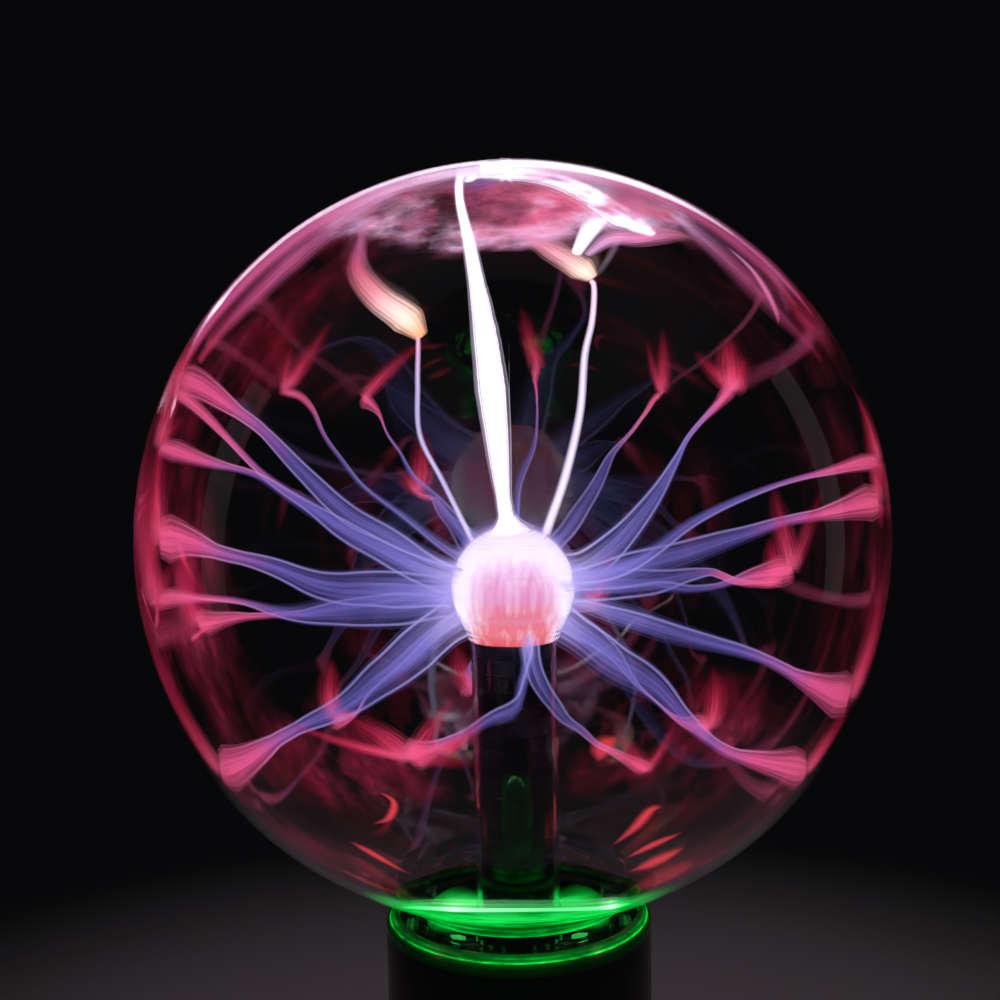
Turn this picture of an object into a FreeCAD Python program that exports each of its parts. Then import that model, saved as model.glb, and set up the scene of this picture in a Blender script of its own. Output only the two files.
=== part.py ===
import FreeCAD, Part
import math
import os

# Plasma ball: a glass globe on a round base. Millimetres, +Z up, origin on the
# floor under the middle of the base. The functions draw it with its flat rear panel
# at -X, and PANEL_TURN then turns every part so that the panel faces +Y.

V = FreeCAD.Vector
UP = V(0, 0, 1)
PANEL_TURN = -90.0

# Globe
GLOBE_R = 100.0
GLOBE_WALL = 1.8
NECK_R = 28.0
NECK_FILLET = 10.0
RIM_TO_CENTRE = 104.0       # from the rim of the collar up to the middle of the globe

# Base
SKIRT_R = 66.0
COLLAR_R = 36.0
RIM_Z = 84.0
SHELL_WALL = 2.6
SHELL_BOTTOM = 2.0
SHOULDER = V(60.0, 0, 27.5)  # where the rounded shoulder meets the concave flank
BOSS_TOP = 24.0
RIB_TOP = 20.0
FLANK_TOP = 56.0
PANEL_X = -62.5
PANEL_WALL = 2.4
PANEL_TOP = 21.5
LEDGE_Z = 68.0
LEDGE_R = 31.5
WEB_BOTTOM = 58.8
WEB_TOP = 61.8
WEB_HOLE_R = 9.0

GLOBE_Z = RIM_Z + RIM_TO_CENTRE

# Electrode bulb and stem
BULB_R = 16.5
BULB_Z = GLOBE_Z - 14.0
BULB_TURN = math.radians(25.0)  # below the bulb's equator, where it starts to narrow
BULB_BLEND = 20.0
STEM_R = 11.5
STEM_WALL = 1.2
FLARE_R = 8.0
FLARE_Z = 66.0
COATING = 0.35
COATING_EDGE = BULB_Z - 13.5
SPRING_R = 4.1
SPRING_WIRE_R = 0.6
SPRING_TURNS = 5
LINER_R = 9.9
LINER_BORE = 8.4
LINER_PITCH = 4.1
LINER_GROOVE = 0.3
LINER_TOP = COATING_EDGE - 0.1

# Light ring and its board
RING_FLANGE_Z = RIM_Z - 2.8
RING_LIP_Z = RIM_Z + 2.2
RING_LIP_R = 33.2
RING_SKIRT_R = 30.8
RING_BOTTOM = 72.0
LED_COUNT = 10
LED_RING_R = 31.0
LED_BOARD_T = 1.2
LED_H = 1.8

# Cover, feet and screws
COVER_R = 63.1
COVER_BOTTOM = 2.5
COVER_TOP = 5.0
FOOT_R = 6.0
FOOT_AT = 52.0
FOOT_RECESS = 0.7
COVER_SCREW_AT = 54.0
LIP_END_X = -52.0
SCREW_R = 1.5
PILOT_R = 1.55
BOSS_R = 4.2

# Main board
BOARD_X = 5.0
BOARD_L = 84.0
BOARD_W = 64.0
BOARD_Z = 14.0
BOARD_T = 1.6
BOARD_TOP = BOARD_Z + BOARD_T
POST_X = 37.0
POST_Y = 27.0
POST_R = 3.4

# Transformer
CORE_LEG = 8.0
CORE_SPAN = 24.0            # between the middles of the two legs
CORE_YOKE = 7.0
CORE_WINDOW = 18.0
HV_WINDING_R = 11.0
PRIMARY_R = 8.2
WINDING_BORE = 6.0
HV_EXIT_X = -CORE_SPAN / 2 - CORE_LEG / 2 - 3.2

# Switch, in its own frame: u outwards from the panel, v along the panel
SWITCH_Y = 9.5
SWITCH_Z = 13.0
BEZEL_L = 21.0
BEZEL_H = 15.0
BEZEL_T = 1.8
BODY_L = 18.8
BODY_H = 12.8
BODY_DEPTH = 12.5
WINDOW_L = 17.0
WINDOW_H = 10.4
WINDOW_DEPTH = 9.0
PIVOT_X = PANEL_X - 0.5
ROCKER_R = 8.2
ROCKER_H = 10.0
ROCKER_TILT = 12.0
ROCKER_FACE = 1.6
ROCKER_BACK = 3.0
PIVOT_R = 1.0
PIVOT_BORE = 1.05
PIVOT_REACH = 6.0

# Power socket
JACK_Y = -11.0
JACK_Z = 13.0
JACK_R = 3.9
JACK_BORE = 3.1
JACK_BACK = -52.0
JACK_PIN_R = 1.05
JACK_PIN_BASE_R = 1.6

# Leads
LEAD_R = 0.8
HV_LEAD_R = 1.5


def box(x0, x1, y0, y1, z0, z1):
    return Part.makeBox(x1 - x0, y1 - y0, z1 - z0, V(x0, y0, z0))


def rod(r, z0, z1, x=0.0, y=0.0):
    return Part.makeCylinder(r, z1 - z0, V(x, y, z0), UP)


def ring(r_out, r_in, z0, z1, x=0.0, y=0.0):
    return rod(r_out, z0, z1, x, y).cut(rod(r_in, z0 - 1, z1 + 1, x, y))


def rod_x(r, x0, x1, y, z):
    return Part.makeCylinder(r, x1 - x0, V(x0, y, z), V(1, 0, 0))


def line(a, b):
    return Part.LineSegment(a, b).toShape()


def arc(a, middle, b):
    return Part.Arc(a, middle, b).toShape()


def turned(edges):
    """A solid of revolution about Z from a closed profile in the XZ plane."""
    face = Part.Face(Part.Wire(edges))
    return face.revolve(V(0, 0, 0), UP, 360)


def turned_points(points):
    corners = [V(r, 0, z) for r, z in points]
    edges = [line(a, b) for a, b in zip(corners, corners[1:] + corners[:1])]
    return turned(edges)


def around(count, start=0.0):
    return [start + i * 360.0 / count for i in range(count)]


def at_angle(shape, degrees):
    return shape.rotated(V(0, 0, 0), UP, degrees)


def group(shapes):
    return Part.makeCompound(shapes)


def square_points(dx, dy, x=0.0, y=0.0):
    return [(x + sx * dx, y + sy * dy) for sx in (-1, 1) for sy in (-1, 1)]


def rounded(shape, radius, along):
    """Round the straight edges of a shape that run along one direction."""
    edges = [e for e in shape.Edges if is_along(e, along)]
    return shape.makeFillet(radius, edges)


def is_along(edge, along):
    if not isinstance(edge.Curve, Part.Line):
        return False
    return edge.tangentAt(edge.FirstParameter).cross(along).Length < 1e-6


def lead(points, radius, bend):
    """A round wire through the points, its straight runs joined by tangent arcs."""
    corners = [V(*p) for p in points]
    edges = []
    start = corners[0]
    for before, corner, after in zip(corners, corners[1:], corners[2:]):
        back = (before - corner).normalize()
        ahead = (after - corner).normalize()
        half = back.getAngle(ahead) / 2
        reach = bend / math.tan(half)
        inward = (back + ahead).normalize()
        enter = corner + back * reach
        leave = corner + ahead * reach
        top = corner + inward * (bend / math.sin(half) - bend)
        edges.append(line(start, enter))
        edges.append(arc(enter, top, leave))
        start = leave
    edges.append(line(start, corners[-1]))
    path = Part.Wire(edges)
    first = (corners[1] - corners[0]).normalize()
    section = Part.Wire([Part.Circle(corners[0], first, radius).toShape()])
    return path.makePipeShell([section], True, False)


# ---------------------------------------------------------------- globe

def neck_profile(offset):
    """Centre of the neck fillet, and where it meets the sphere and the neck."""
    reach = GLOBE_R + NECK_FILLET
    r = NECK_R + NECK_FILLET
    drop = math.sqrt(reach * reach - r * r)
    share = (GLOBE_R - offset) / reach
    sphere_point = V(r * share, 0, GLOBE_Z - drop * share)
    neck_point = V(NECK_R - offset, 0, GLOBE_Z - drop)
    bisect = V(sphere_point.x - r, 0, sphere_point.z - GLOBE_Z + drop).normalize()
    bisect = (bisect + V(-1, 0, 0)).normalize()
    middle = V(r, 0, GLOBE_Z - drop) + bisect * (NECK_FILLET + offset)
    return sphere_point, middle, neck_point


def globe_body(offset, bottom):
    """The globe's outside, moved inwards by the offset, as a full solid."""
    sphere_point, middle, neck_point = neck_profile(offset)
    top = V(0, 0, GLOBE_Z + GLOBE_R - offset)
    side = V(GLOBE_R - offset, 0, GLOBE_Z)
    low = V(NECK_R - offset, 0, bottom)
    return turned([
        arc(top, side, sphere_point),
        arc(sphere_point, middle, neck_point),
        line(neck_point, low),
        line(low, V(0, 0, bottom)),
        line(V(0, 0, bottom), top),
    ])


def globe_glass():
    return globe_body(0, FLARE_Z).cut(globe_body(GLOBE_WALL, FLARE_Z - 5))


def bulb_body(offset, bottom):
    """The electrode bulb and stem, moved inwards by the offset, as a full solid."""
    cos_t = math.cos(BULB_TURN)
    sin_t = math.sin(BULB_TURN)
    r = BULB_R - offset
    leave = V(r * cos_t, 0, BULB_Z - r * sin_t)
    blend = BULB_BLEND + offset
    blend_r = STEM_R + BULB_BLEND
    meet_r = blend_r - blend * cos_t
    run = (leave.x - meet_r) / sin_t
    meet = V(meet_r, 0, leave.z - run * cos_t)
    blend_z = meet.z - blend * sin_t
    half = BULB_TURN / 2
    middle = V(blend_r - blend * math.cos(half), 0, blend_z + blend * math.sin(half))
    tube_top = V(STEM_R - offset, 0, blend_z)
    tube_low = V(STEM_R - offset, 0, bottom)
    top = V(0, 0, BULB_Z + r)
    return turned([
        arc(top, V(r, 0, BULB_Z), leave),
        line(leave, meet),
        arc(meet, middle, tube_top),
        line(tube_top, tube_low),
        line(tube_low, V(0, 0, bottom)),
        line(V(0, 0, bottom), top),
    ])


def stem_flare():
    """The trumpet at the foot of the stem that closes the globe's neck."""
    centre_r = STEM_R + FLARE_R
    top_z = FLARE_Z + FLARE_R
    thick = FLARE_R + STEM_WALL
    low_z = FLARE_Z - STEM_WALL
    s = math.sqrt(0.5)
    outer_mid = V(centre_r - FLARE_R * s, 0, top_z - FLARE_R * s)
    inner_mid = V(centre_r - thick * s, 0, top_z - thick * s)
    return turned([
        arc(V(STEM_R, 0, top_z), outer_mid, V(centre_r, 0, FLARE_Z)),
        line(V(centre_r, 0, FLARE_Z), V(NECK_R, 0, FLARE_Z)),
        line(V(NECK_R, 0, FLARE_Z), V(NECK_R, 0, low_z)),
        line(V(NECK_R, 0, low_z), V(centre_r, 0, low_z)),
        arc(V(centre_r, 0, low_z), inner_mid, V(STEM_R - STEM_WALL, 0, top_z)),
        line(V(STEM_R - STEM_WALL, 0, top_z), V(STEM_R, 0, top_z)),
    ])


def stem_glass():
    foot = FLARE_Z + FLARE_R
    tube = bulb_body(0, foot).cut(bulb_body(STEM_WALL, foot - 5))
    glass = tube.fuse(stem_flare()).removeSplitter()
    return glass.cut(rod(1.2, FLARE_Z - 3, FLARE_Z + 1, 23.0, 0))


def exhaust_tip():
    """The sealed-off pumping tube under the flare."""
    shaft = rod(1.2, FLARE_Z - STEM_WALL - 1.0, FLARE_Z, 23.0, 0)
    tip = Part.makeSphere(1.2, V(23.0, 0, FLARE_Z - STEM_WALL - 1.0))
    return shaft.fuse(tip).removeSplitter()


def electrode_coating():
    """The conductive lining in the bulb, from its top down to just below the swell."""
    foot = COATING_EDGE - 5
    lining = bulb_body(STEM_WALL, foot).cut(bulb_body(STEM_WALL + COATING, foot - 1))
    return lining.cut(rod(20.0, foot - 2, COATING_EDGE))


def stem_liner():
    """The dark wound tube in the stem, grooved once per turn of its tape."""
    points = [(LINER_BORE, WEB_TOP)]
    z = WEB_TOP
    while z + LINER_PITCH < LINER_TOP:
        points.append((LINER_R - LINER_GROOVE, z))
        points.append((LINER_R, z + LINER_GROOVE))
        points.append((LINER_R, z + LINER_PITCH - LINER_GROOVE))
        z += LINER_PITCH
    points.append((LINER_R - LINER_GROOVE, z))
    points.append((LINER_BORE, z))
    return turned_points(points)


def contact_cap():
    """The domed cap that bears on the lining at the top of the bulb."""
    r = BULB_R - STEM_WALL - COATING
    dome = Part.makeSphere(r, V(0, 0, BULB_Z))
    dome = dome.cut(Part.makeSphere(r - 0.8, V(0, 0, BULB_Z)))
    return dome.common(rod(6.0, BULB_Z, BULB_Z + r + 1))


def contact_spring():
    """The coil between the lead's end and the cap."""
    low = BULB_Z - 9.5
    high = BULB_Z + 12.0
    pitch = (high - low) / SPRING_TURNS
    path = Part.makeHelix(pitch, high - low, SPRING_R)
    path.translate(V(0, 0, low))
    ahead = V(0, 2 * math.pi * SPRING_R, pitch)
    section = Part.Wire([Part.Circle(V(SPRING_R, 0, low), ahead, SPRING_WIRE_R).toShape()])
    return Part.Wire(path.Edges).makePipeShell([section], True, True)


def contact_cup():
    """The brass cup on the lead's end that the spring stands in."""
    cup = rod(5.4, BULB_Z - 12.0, BULB_Z - 8.0)
    cup = cup.cut(rod(4.9, BULB_Z - 10.2, BULB_Z - 7.0))
    return cup.fuse(ring(2.4, HV_LEAD_R, BULB_Z - 17.0, BULB_Z - 12.0)).removeSplitter()


def stem_bung():
    """The rubber bung that holds the lead in the foot of the liner."""
    bung = rod(WEB_HOLE_R - 0.1, WEB_BOTTOM, WEB_TOP)
    bung = bung.fuse(rod(LINER_BORE - 0.1, WEB_TOP, WEB_TOP + 12.0))
    bung = bung.fuse(ring(11.0, 2.0, WEB_BOTTOM - 1.6, WEB_BOTTOM)).removeSplitter()
    return bung.cut(rod(HV_LEAD_R, WEB_BOTTOM - 3, WEB_TOP + 13))


def globe_gasket():
    """The soft washer under the globe, with a notch round the pumping tip."""
    washer = ring(LEDGE_R - 0.4, 15.0, WEB_TOP, FLARE_Z - STEM_WALL)
    washer = washer.cut(rod(2.4, WEB_TOP - 1, FLARE_Z, 23.0, 0))
    return cut_lead_holes(washer)


def neck_seal():
    """The bead of silicone that bonds the neck into the collar."""
    bead = turned_points([
        (NECK_R, FLARE_Z - STEM_WALL),
        (LEDGE_R, FLARE_Z - STEM_WALL),
        (LEDGE_R, LEDGE_Z - 0.6),
        (NECK_R + 1.6, LEDGE_Z - 1.6),
        (NECK_R, LEDGE_Z - 0.4),
    ])
    return cut_lead_holes(bead)


# ---------------------------------------------------------------- light ring

def light_ring():
    """The clear rim of the collar, bevelled outwards, with a skirt that takes up the light."""
    return turned_points([
        (RING_SKIRT_R, RING_BOTTOM),
        (RING_LIP_R, RING_BOTTOM),
        (RING_LIP_R, RING_FLANGE_Z),
        (COLLAR_R, RING_FLANGE_Z),
        (COLLAR_R, RIM_Z - 0.4),
        (COLLAR_R - 0.4, RIM_Z),
        (RING_LIP_R + 0.4, RING_LIP_Z - 0.2),
        (RING_LIP_R, RING_LIP_Z),
        (RING_LIP_R - 0.6, RING_LIP_Z),
        (RING_LIP_R - 0.6, RING_FLANGE_Z + 1.6),
        (RING_SKIRT_R, RING_FLANGE_Z + 0.4),
    ])


def led_board():
    return ring(RING_LIP_R, NECK_R + 0.8, LEDGE_Z, LEDGE_Z + LED_BOARD_T)


def leds():
    """Green surface-mounted LEDs that shine up into the light ring."""
    low = LEDGE_Z + LED_BOARD_T
    body = box(LED_RING_R - 1.4, LED_RING_R + 1.4, -1.75, 1.75, low, low + LED_H)
    body = rounded(body, 0.3, UP)
    body = body.cut(rod(1.0, low + LED_H - 0.3, low + LED_H + 1, LED_RING_R, 0))
    return group([at_angle(body, a) for a in around(LED_COUNT)])


def led_resistors():
    low = LEDGE_Z + LED_BOARD_T
    chip = box(LED_RING_R - 0.6, LED_RING_R + 0.6, -1.6, 1.6, low, low + 0.6)
    chip = rounded(chip, 0.15, V(0, 1, 0))
    step = 360.0 / LED_COUNT
    return group([at_angle(chip, a) for a in around(LED_COUNT // 2, step / 2)])


def led_lead_angles():
    return (41.0, 49.0)


def lead_spot(angle, r=29.9):
    a = math.radians(angle)
    return r * math.cos(a), r * math.sin(a)


def cut_lead_holes(shape):
    for angle in led_lead_angles():
        x, y = lead_spot(angle)
        shape = shape.cut(rod(LEAD_R + 0.1, WEB_BOTTOM - 2, LEDGE_Z + 5, x, y))
    return shape


def led_leads():
    """Two wires from the main board up to the board under the light ring."""
    wires = []
    for angle in led_lead_angles():
        x, y = lead_spot(angle)
        foot_x, foot_y = lead_spot(angle, 24.5)
        route = [
            (foot_x, foot_y, BOARD_TOP),
            (foot_x, foot_y, 30.0),
            (x, y, 46.0),
            (x, y, LEDGE_Z),
        ]
        wires.append(lead(route, LEAD_R, 12.0))
    return group(wires)


# ---------------------------------------------------------------- base shell

def flank_centre():
    """Centre and radius of the concave flank: upright at the collar, through the shoulder."""
    dx = SHOULDER.x - COLLAR_R
    dz = FLANK_TOP - SHOULDER.z
    radius = (dx * dx + dz * dz) / (2 * dx)
    return V(COLLAR_R + radius, 0, FLANK_TOP), radius


def flank_point(share, offset):
    """A point on the flank: share 0 at the shoulder, 1 at the collar."""
    centre, radius = flank_centre()
    low = math.acos((centre.x - SHOULDER.x) / radius)
    angle = low * (1 - share)
    reach = radius + offset
    return V(centre.x - reach * math.cos(angle), 0, centre.z - reach * math.sin(angle))


def shoulder_centre():
    """Centre and radius of the shoulder's rounding, tangent to the skirt and the flank."""
    centre, radius = flank_centre()
    lean = (centre.x - SHOULDER.x) / radius
    round_r = (SKIRT_R - SHOULDER.x) / (1 - lean)
    drop = round_r * math.sqrt(1 - lean * lean)
    return V(SKIRT_R - round_r, 0, SHOULDER.z - drop), round_r, math.asin(lean)


def shell_profile(offset, bottom, top):
    """The outside of the base, moved inwards by the offset, as a full solid."""
    shoulder = flank_point(0, offset)
    flank_end = flank_point(1, offset)
    centre, round_r, lean = shoulder_centre()
    reach = round_r - offset
    half = (math.pi / 2 + lean) / 2
    knee = V(centre.x + reach, 0, centre.z)
    corner = V(centre.x + reach * math.sin(half), 0, centre.z + reach * math.cos(half))
    foot = V(SKIRT_R - offset, 0, bottom)
    return turned([
        line(V(0, 0, bottom), foot),
        line(foot, knee),
        arc(knee, corner, shoulder),
        arc(shoulder, flank_point(0.5, offset), flank_end),
        line(flank_end, V(COLLAR_R - offset, 0, top)),
        line(V(COLLAR_R - offset, 0, top), V(0, 0, top)),
        line(V(0, 0, top), V(0, 0, bottom)),
    ])


def panel_cut(x):
    return box(-SKIRT_R - 5, x, -40, 40, -1, PANEL_TOP)


def panel_wall():
    """The flat wall behind the rear panel, closed along its top edge."""
    wall = box(PANEL_X, PANEL_X + PANEL_WALL, -26, 26, SHELL_BOTTOM, PANEL_TOP + 1.8)
    roof = box(-SKIRT_R, PANEL_X + PANEL_WALL, -26, 26, PANEL_TOP, PANEL_TOP + 1.8)
    inside = shell_profile(0.3, SHELL_BOTTOM, RING_FLANGE_Z)
    return wall.fuse(roof).common(inside)


def shell_bosses():
    """Posts for the cover's screws, each tied to the skirt by a rib."""
    posts = []
    for angle in around(4, 45.0):
        post = rod(BOSS_R, COVER_TOP, BOSS_TOP, COVER_SCREW_AT, 0)
        rib = box(COVER_SCREW_AT, SKIRT_R - 1, -1.0, 1.0, COVER_TOP + 2, RIB_TOP)
        posts.append(at_angle(post.fuse(rib), angle))
    return posts


def base_shell():
    shell = shell_profile(0, SHELL_BOTTOM, RING_FLANGE_Z)
    hollow = shell_profile(SHELL_WALL, SHELL_BOTTOM - 1, WEB_BOTTOM)
    shell = shell.cut(hollow).cut(panel_cut(PANEL_X))
    shell = shell.fuse(panel_wall())
    envelope = shell_profile(0.5, SHELL_BOTTOM, WEB_BOTTOM)
    for post in shell_bosses():
        shell = shell.fuse(post.common(envelope))
    shell = shell.removeSplitter()
    shell = shell.cut(rod(COLLAR_R - SHELL_WALL, LEDGE_Z, RIM_Z + 5))
    shell = shell.cut(rod(LEDGE_R, WEB_TOP, LEDGE_Z + 1))
    shell = shell.cut(rod(WEB_HOLE_R, WEB_BOTTOM - 1, WEB_TOP + 1))
    for angle in around(4, 45.0):
        x, y = lead_spot(angle, COVER_SCREW_AT)
        shell = shell.cut(rod(PILOT_R, COVER_TOP - 1, COVER_TOP + 12, x, y))
    shell = cut_lead_holes(shell)
    behind = PANEL_X + PANEL_WALL + 2
    shell = shell.cut(centred(PANEL_X - 5, behind, BODY_L + 0.2, BODY_H + 0.2))
    return shell.cut(rod_x(JACK_R + 0.1, PANEL_X - 5, behind, JACK_Y, JACK_Z))


def vent_slots():
    slots = []
    for angle in around(12, 15.0):
        slot = box(24.0, 36.0, -1.1, 1.1, COVER_BOTTOM - 1, COVER_TOP + 1)
        slots.append(at_angle(rounded(slot, 1.0, UP), angle))
    return slots


def base_cover():
    """The floor of the base: a disc with vents, board posts and screw holes."""
    cover = rod(COVER_R, COVER_BOTTOM, COVER_TOP)
    lip = ring(COVER_R, COVER_R - 2.0, COVER_TOP, COVER_TOP + 2.0)
    boss_gap = rod(BOSS_R + 3.2, COVER_TOP - 1, COVER_TOP + 4, COVER_SCREW_AT + 2, 0)
    for angle in around(4, 45.0):
        lip = lip.cut(at_angle(boss_gap, angle))
    cover = cover.fuse(lip.cut(panel_cut(LIP_END_X)))
    cover = cover.cut(panel_cut(PANEL_X + PANEL_WALL + 0.3))
    for x, y in square_points(POST_X, POST_Y, BOARD_X):
        cover = cover.fuse(rod(POST_R, COVER_TOP - 0.5, BOARD_Z, x, y))
    cover = cover.removeSplitter()
    for x, y in square_points(POST_X, POST_Y, BOARD_X):
        cover = cover.cut(rod(PILOT_R, BOARD_Z - 6.5, BOARD_Z + 1, x, y))
    for slot in vent_slots():
        cover = cover.cut(slot)
    for angle in around(4):
        x, y = lead_spot(angle, FOOT_AT)
        cover = cover.cut(rod(FOOT_R + 0.1, COVER_BOTTOM - 1, COVER_BOTTOM + FOOT_RECESS, x, y))
    for angle in around(4, 45.0):
        x, y = lead_spot(angle, COVER_SCREW_AT)
        cover = cover.cut(rod(1.7, COVER_BOTTOM - 1, COVER_TOP + 1, x, y))
        cover = cover.cut(rod(3.1, COVER_BOTTOM - 1, COVER_BOTTOM + 1.4, x, y))
    return cover


def feet():
    pads = []
    for angle in around(4):
        x, y = lead_spot(angle, FOOT_AT)
        pad = rod(FOOT_R, 0, COVER_BOTTOM + FOOT_RECESS, x, y)
        rim = [e for e in pad.Edges if e.BoundBox.ZMax < 0.01]
        pads.append(pad.makeChamfer(0.6, rim))
    return group(pads)


def screw(x, y, head_low, head_high, tip, shank_from):
    """A screw along Z with a cross recess, its head between the two heights."""
    head = rod(2.8, head_low, head_high, x, y)
    shank = rod(SCREW_R, min(tip, shank_from), max(tip, shank_from), x, y)
    return head.fuse(shank).removeSplitter()


def cross_recess(x, y, z0, z1):
    bar = box(x - 1.5, x + 1.5, y - 0.35, y + 0.35, z0, z1)
    return bar.fuse(bar.rotated(V(x, y, 0), UP, 90))


def cover_screws():
    screws = []
    for angle in around(4, 45.0):
        x, y = lead_spot(angle, COVER_SCREW_AT)
        body = screw(x, y, COVER_BOTTOM, COVER_BOTTOM + 1.4, COVER_TOP + 10, COVER_BOTTOM + 1.4)
        screws.append(body.cut(cross_recess(x, y, COVER_BOTTOM - 1, COVER_BOTTOM + 0.9)))
    return group(screws)


# ---------------------------------------------------------------- main board

def main_board():
    x0 = BOARD_X - BOARD_L / 2
    board = box(x0, x0 + BOARD_L, -BOARD_W / 2, BOARD_W / 2, BOARD_Z, BOARD_TOP)
    board = rounded(board, 3.0, UP)
    for x, y in square_points(POST_X, POST_Y, BOARD_X):
        board = board.cut(rod(1.7, BOARD_Z - 1, BOARD_TOP + 1, x, y))
    return board


def board_screws():
    screws = []
    for x, y in square_points(POST_X, POST_Y, BOARD_X):
        body = screw(x, y, BOARD_TOP, BOARD_TOP + 1.8, BOARD_Z - 5, BOARD_TOP)
        screws.append(body.cut(cross_recess(x, y, BOARD_TOP + 0.8, BOARD_TOP + 3)))
    return group(screws)


def core_half(low):
    """One U of the ferrite core, legs up, standing on the given height."""
    outer = CORE_SPAN / 2 + CORE_LEG / 2
    inner = CORE_SPAN / 2 - CORE_LEG / 2
    half_y = CORE_LEG / 2
    leg_top = low + CORE_YOKE + CORE_WINDOW / 2
    u = box(-outer, outer, -half_y, half_y, low, leg_top)
    u = u.cut(box(-inner, inner, -half_y - 1, half_y + 1, low + CORE_YOKE, leg_top + 1))
    return rounded(u, 0.6, V(0, 1, 0))


def core_height():
    return 2 * CORE_YOKE + CORE_WINDOW


def ferrite_core():
    """Two U halves, legs end to end."""
    lower = core_half(BOARD_TOP)
    middle = V(0, 0, BOARD_TOP + core_height() / 2)
    upper = lower.rotated(middle, V(0, 1, 0), 180)
    return group([lower, upper])


def winding(x, r, low, high, flange):
    """A wound bobbin: two flanges with the potted or taped turns between them."""
    body = ring(r, WINDING_BORE, low, high, x)
    disc_low = ring(flange, WINDING_BORE, low, low + 1.0, x)
    disc_high = ring(flange, WINDING_BORE, high - 1.0, high, x)
    return body.fuse(disc_low).fuse(disc_high).removeSplitter()


def hv_winding():
    low = BOARD_TOP + CORE_YOKE + 0.3
    coil = winding(-CORE_SPAN / 2, HV_WINDING_R - 1.0, low, low + CORE_WINDOW - 0.6, HV_WINDING_R)
    tower = rod(2.6, low + CORE_WINDOW - 0.6, low + CORE_WINDOW + 4.0, HV_EXIT_X, 0)
    coil = coil.fuse(tower).removeSplitter()
    return coil.cut(rod(HV_LEAD_R, low + CORE_WINDOW, low + CORE_WINDOW + 5, HV_EXIT_X, 0))


def primary_winding():
    low = BOARD_TOP + CORE_YOKE + 0.3
    return winding(CORE_SPAN / 2, PRIMARY_R - 0.8, low, low + CORE_WINDOW - 0.6, PRIMARY_R)


def hv_lead():
    """The high-voltage wire from the winding up the middle of the stem."""
    start = BOARD_TOP + CORE_YOKE + 0.3 + CORE_WINDOW
    route = [
        (HV_EXIT_X, 0, start),
        (HV_EXIT_X, 0, 53.0),
        (0, 0, 53.0),
        (0, 0, BULB_Z - 12.0),
    ]
    return lead(route, HV_LEAD_R, 4.0)


def heatsink():
    """A finned aluminium plate standing on the board."""
    plate = box(30.0, 32.0, -14.0, 14.0, BOARD_TOP, BOARD_TOP + 16)
    for y in (-13.0, -8.0, -3.0, 3.0, 8.0, 13.0):
        plate = plate.fuse(box(31.5, 37.0, y - 0.6, y + 0.6, BOARD_TOP, BOARD_TOP + 14))
    plate = plate.removeSplitter()
    return plate.cut(rod_x(1.6, 28, 40, 0, BOARD_TOP + 12))


def power_transistor():
    """A flat power package against the plate, with its metal tab and three legs."""
    body = box(26.2, 29.6, -5.0, 5.0, BOARD_TOP + 4, BOARD_TOP + 9)
    tab = box(28.8, 30.0, -5.0, 5.0, BOARD_TOP + 4, BOARD_TOP + 15)
    tab = tab.cut(rod_x(1.6, 28, 31, 0, BOARD_TOP + 12))
    part = body.fuse(tab)
    for y in (-2.5, 0.0, 2.5):
        part = part.fuse(box(27.6, 28.1, y - 0.4, y + 0.4, BOARD_TOP, BOARD_TOP + 4.5))
    return part.removeSplitter()


def transistor_screw():
    head = rod_x(2.7, 27.0, 28.8, 0, BOARD_TOP + 12)
    slot = box(26.0, 27.6, -3.0, 3.0, BOARD_TOP + 11.65, BOARD_TOP + 12.35)
    return head.fuse(rod_x(SCREW_R, 28.8, 34.0, 0, BOARD_TOP + 12)).removeSplitter().cut(slot)


def electrolytic_capacitors():
    """Upright cans with a crimped neck and a scored top."""
    cans = []
    for x, y, r, height in ((-24.0, 22.0, 5.0, 12.0), (-24.0, -22.0, 5.0, 12.0), (-10.0, 25.0, 4.0, 11.0)):
        can = rod(r, BOARD_TOP, BOARD_TOP + height, x, y)
        can = can.cut(ring(r + 1, r - 0.35, BOARD_TOP + 1.6, BOARD_TOP + 2.4, x, y))
        top = BOARD_TOP + height
        score = box(x - r * 0.7, x + r * 0.7, y - 0.2, y + 0.2, top - 0.3, top + 1)
        cans.append(can.cut(score))
    return group(cans)


def film_capacitors():
    """Dipped box capacitors beside the transformer."""
    blocks = []
    for x, y in ((4.0, 15.0), (4.0, -15.0), (16.0, -20.0)):
        block = box(x - 5.5, x + 5.5, y - 2.5, y + 2.5, BOARD_TOP, BOARD_TOP + 9)
        blocks.append(rounded(block, 1.0, UP))
    return group(blocks)


def resistors():
    """Axial resistors lying on the board, each with its two bent wires."""
    parts = []
    for x, y in ((-8.0, -20.0), (-8.0, -24.0), (-8.0, -28.0), (30.0, 24.0), (16.0, 28.0)):
        body = rod_x(1.2, x - 3.2, x + 3.2, y, BOARD_TOP + 1.3)
        caps = rod_x(1.35, x - 3.2, x - 1.9, y, BOARD_TOP + 1.35)
        caps = caps.fuse(rod_x(1.35, x + 1.9, x + 3.2, y, BOARD_TOP + 1.35))
        wire = lead([
            (x - 5.5, y, BOARD_TOP),
            (x - 5.5, y, BOARD_TOP + 1.35),
            (x + 5.5, y, BOARD_TOP + 1.35),
            (x + 5.5, y, BOARD_TOP),
        ], 0.3, 0.8)
        parts.append(body.fuse(caps).fuse(wire).removeSplitter())
    return group(parts)


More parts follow.
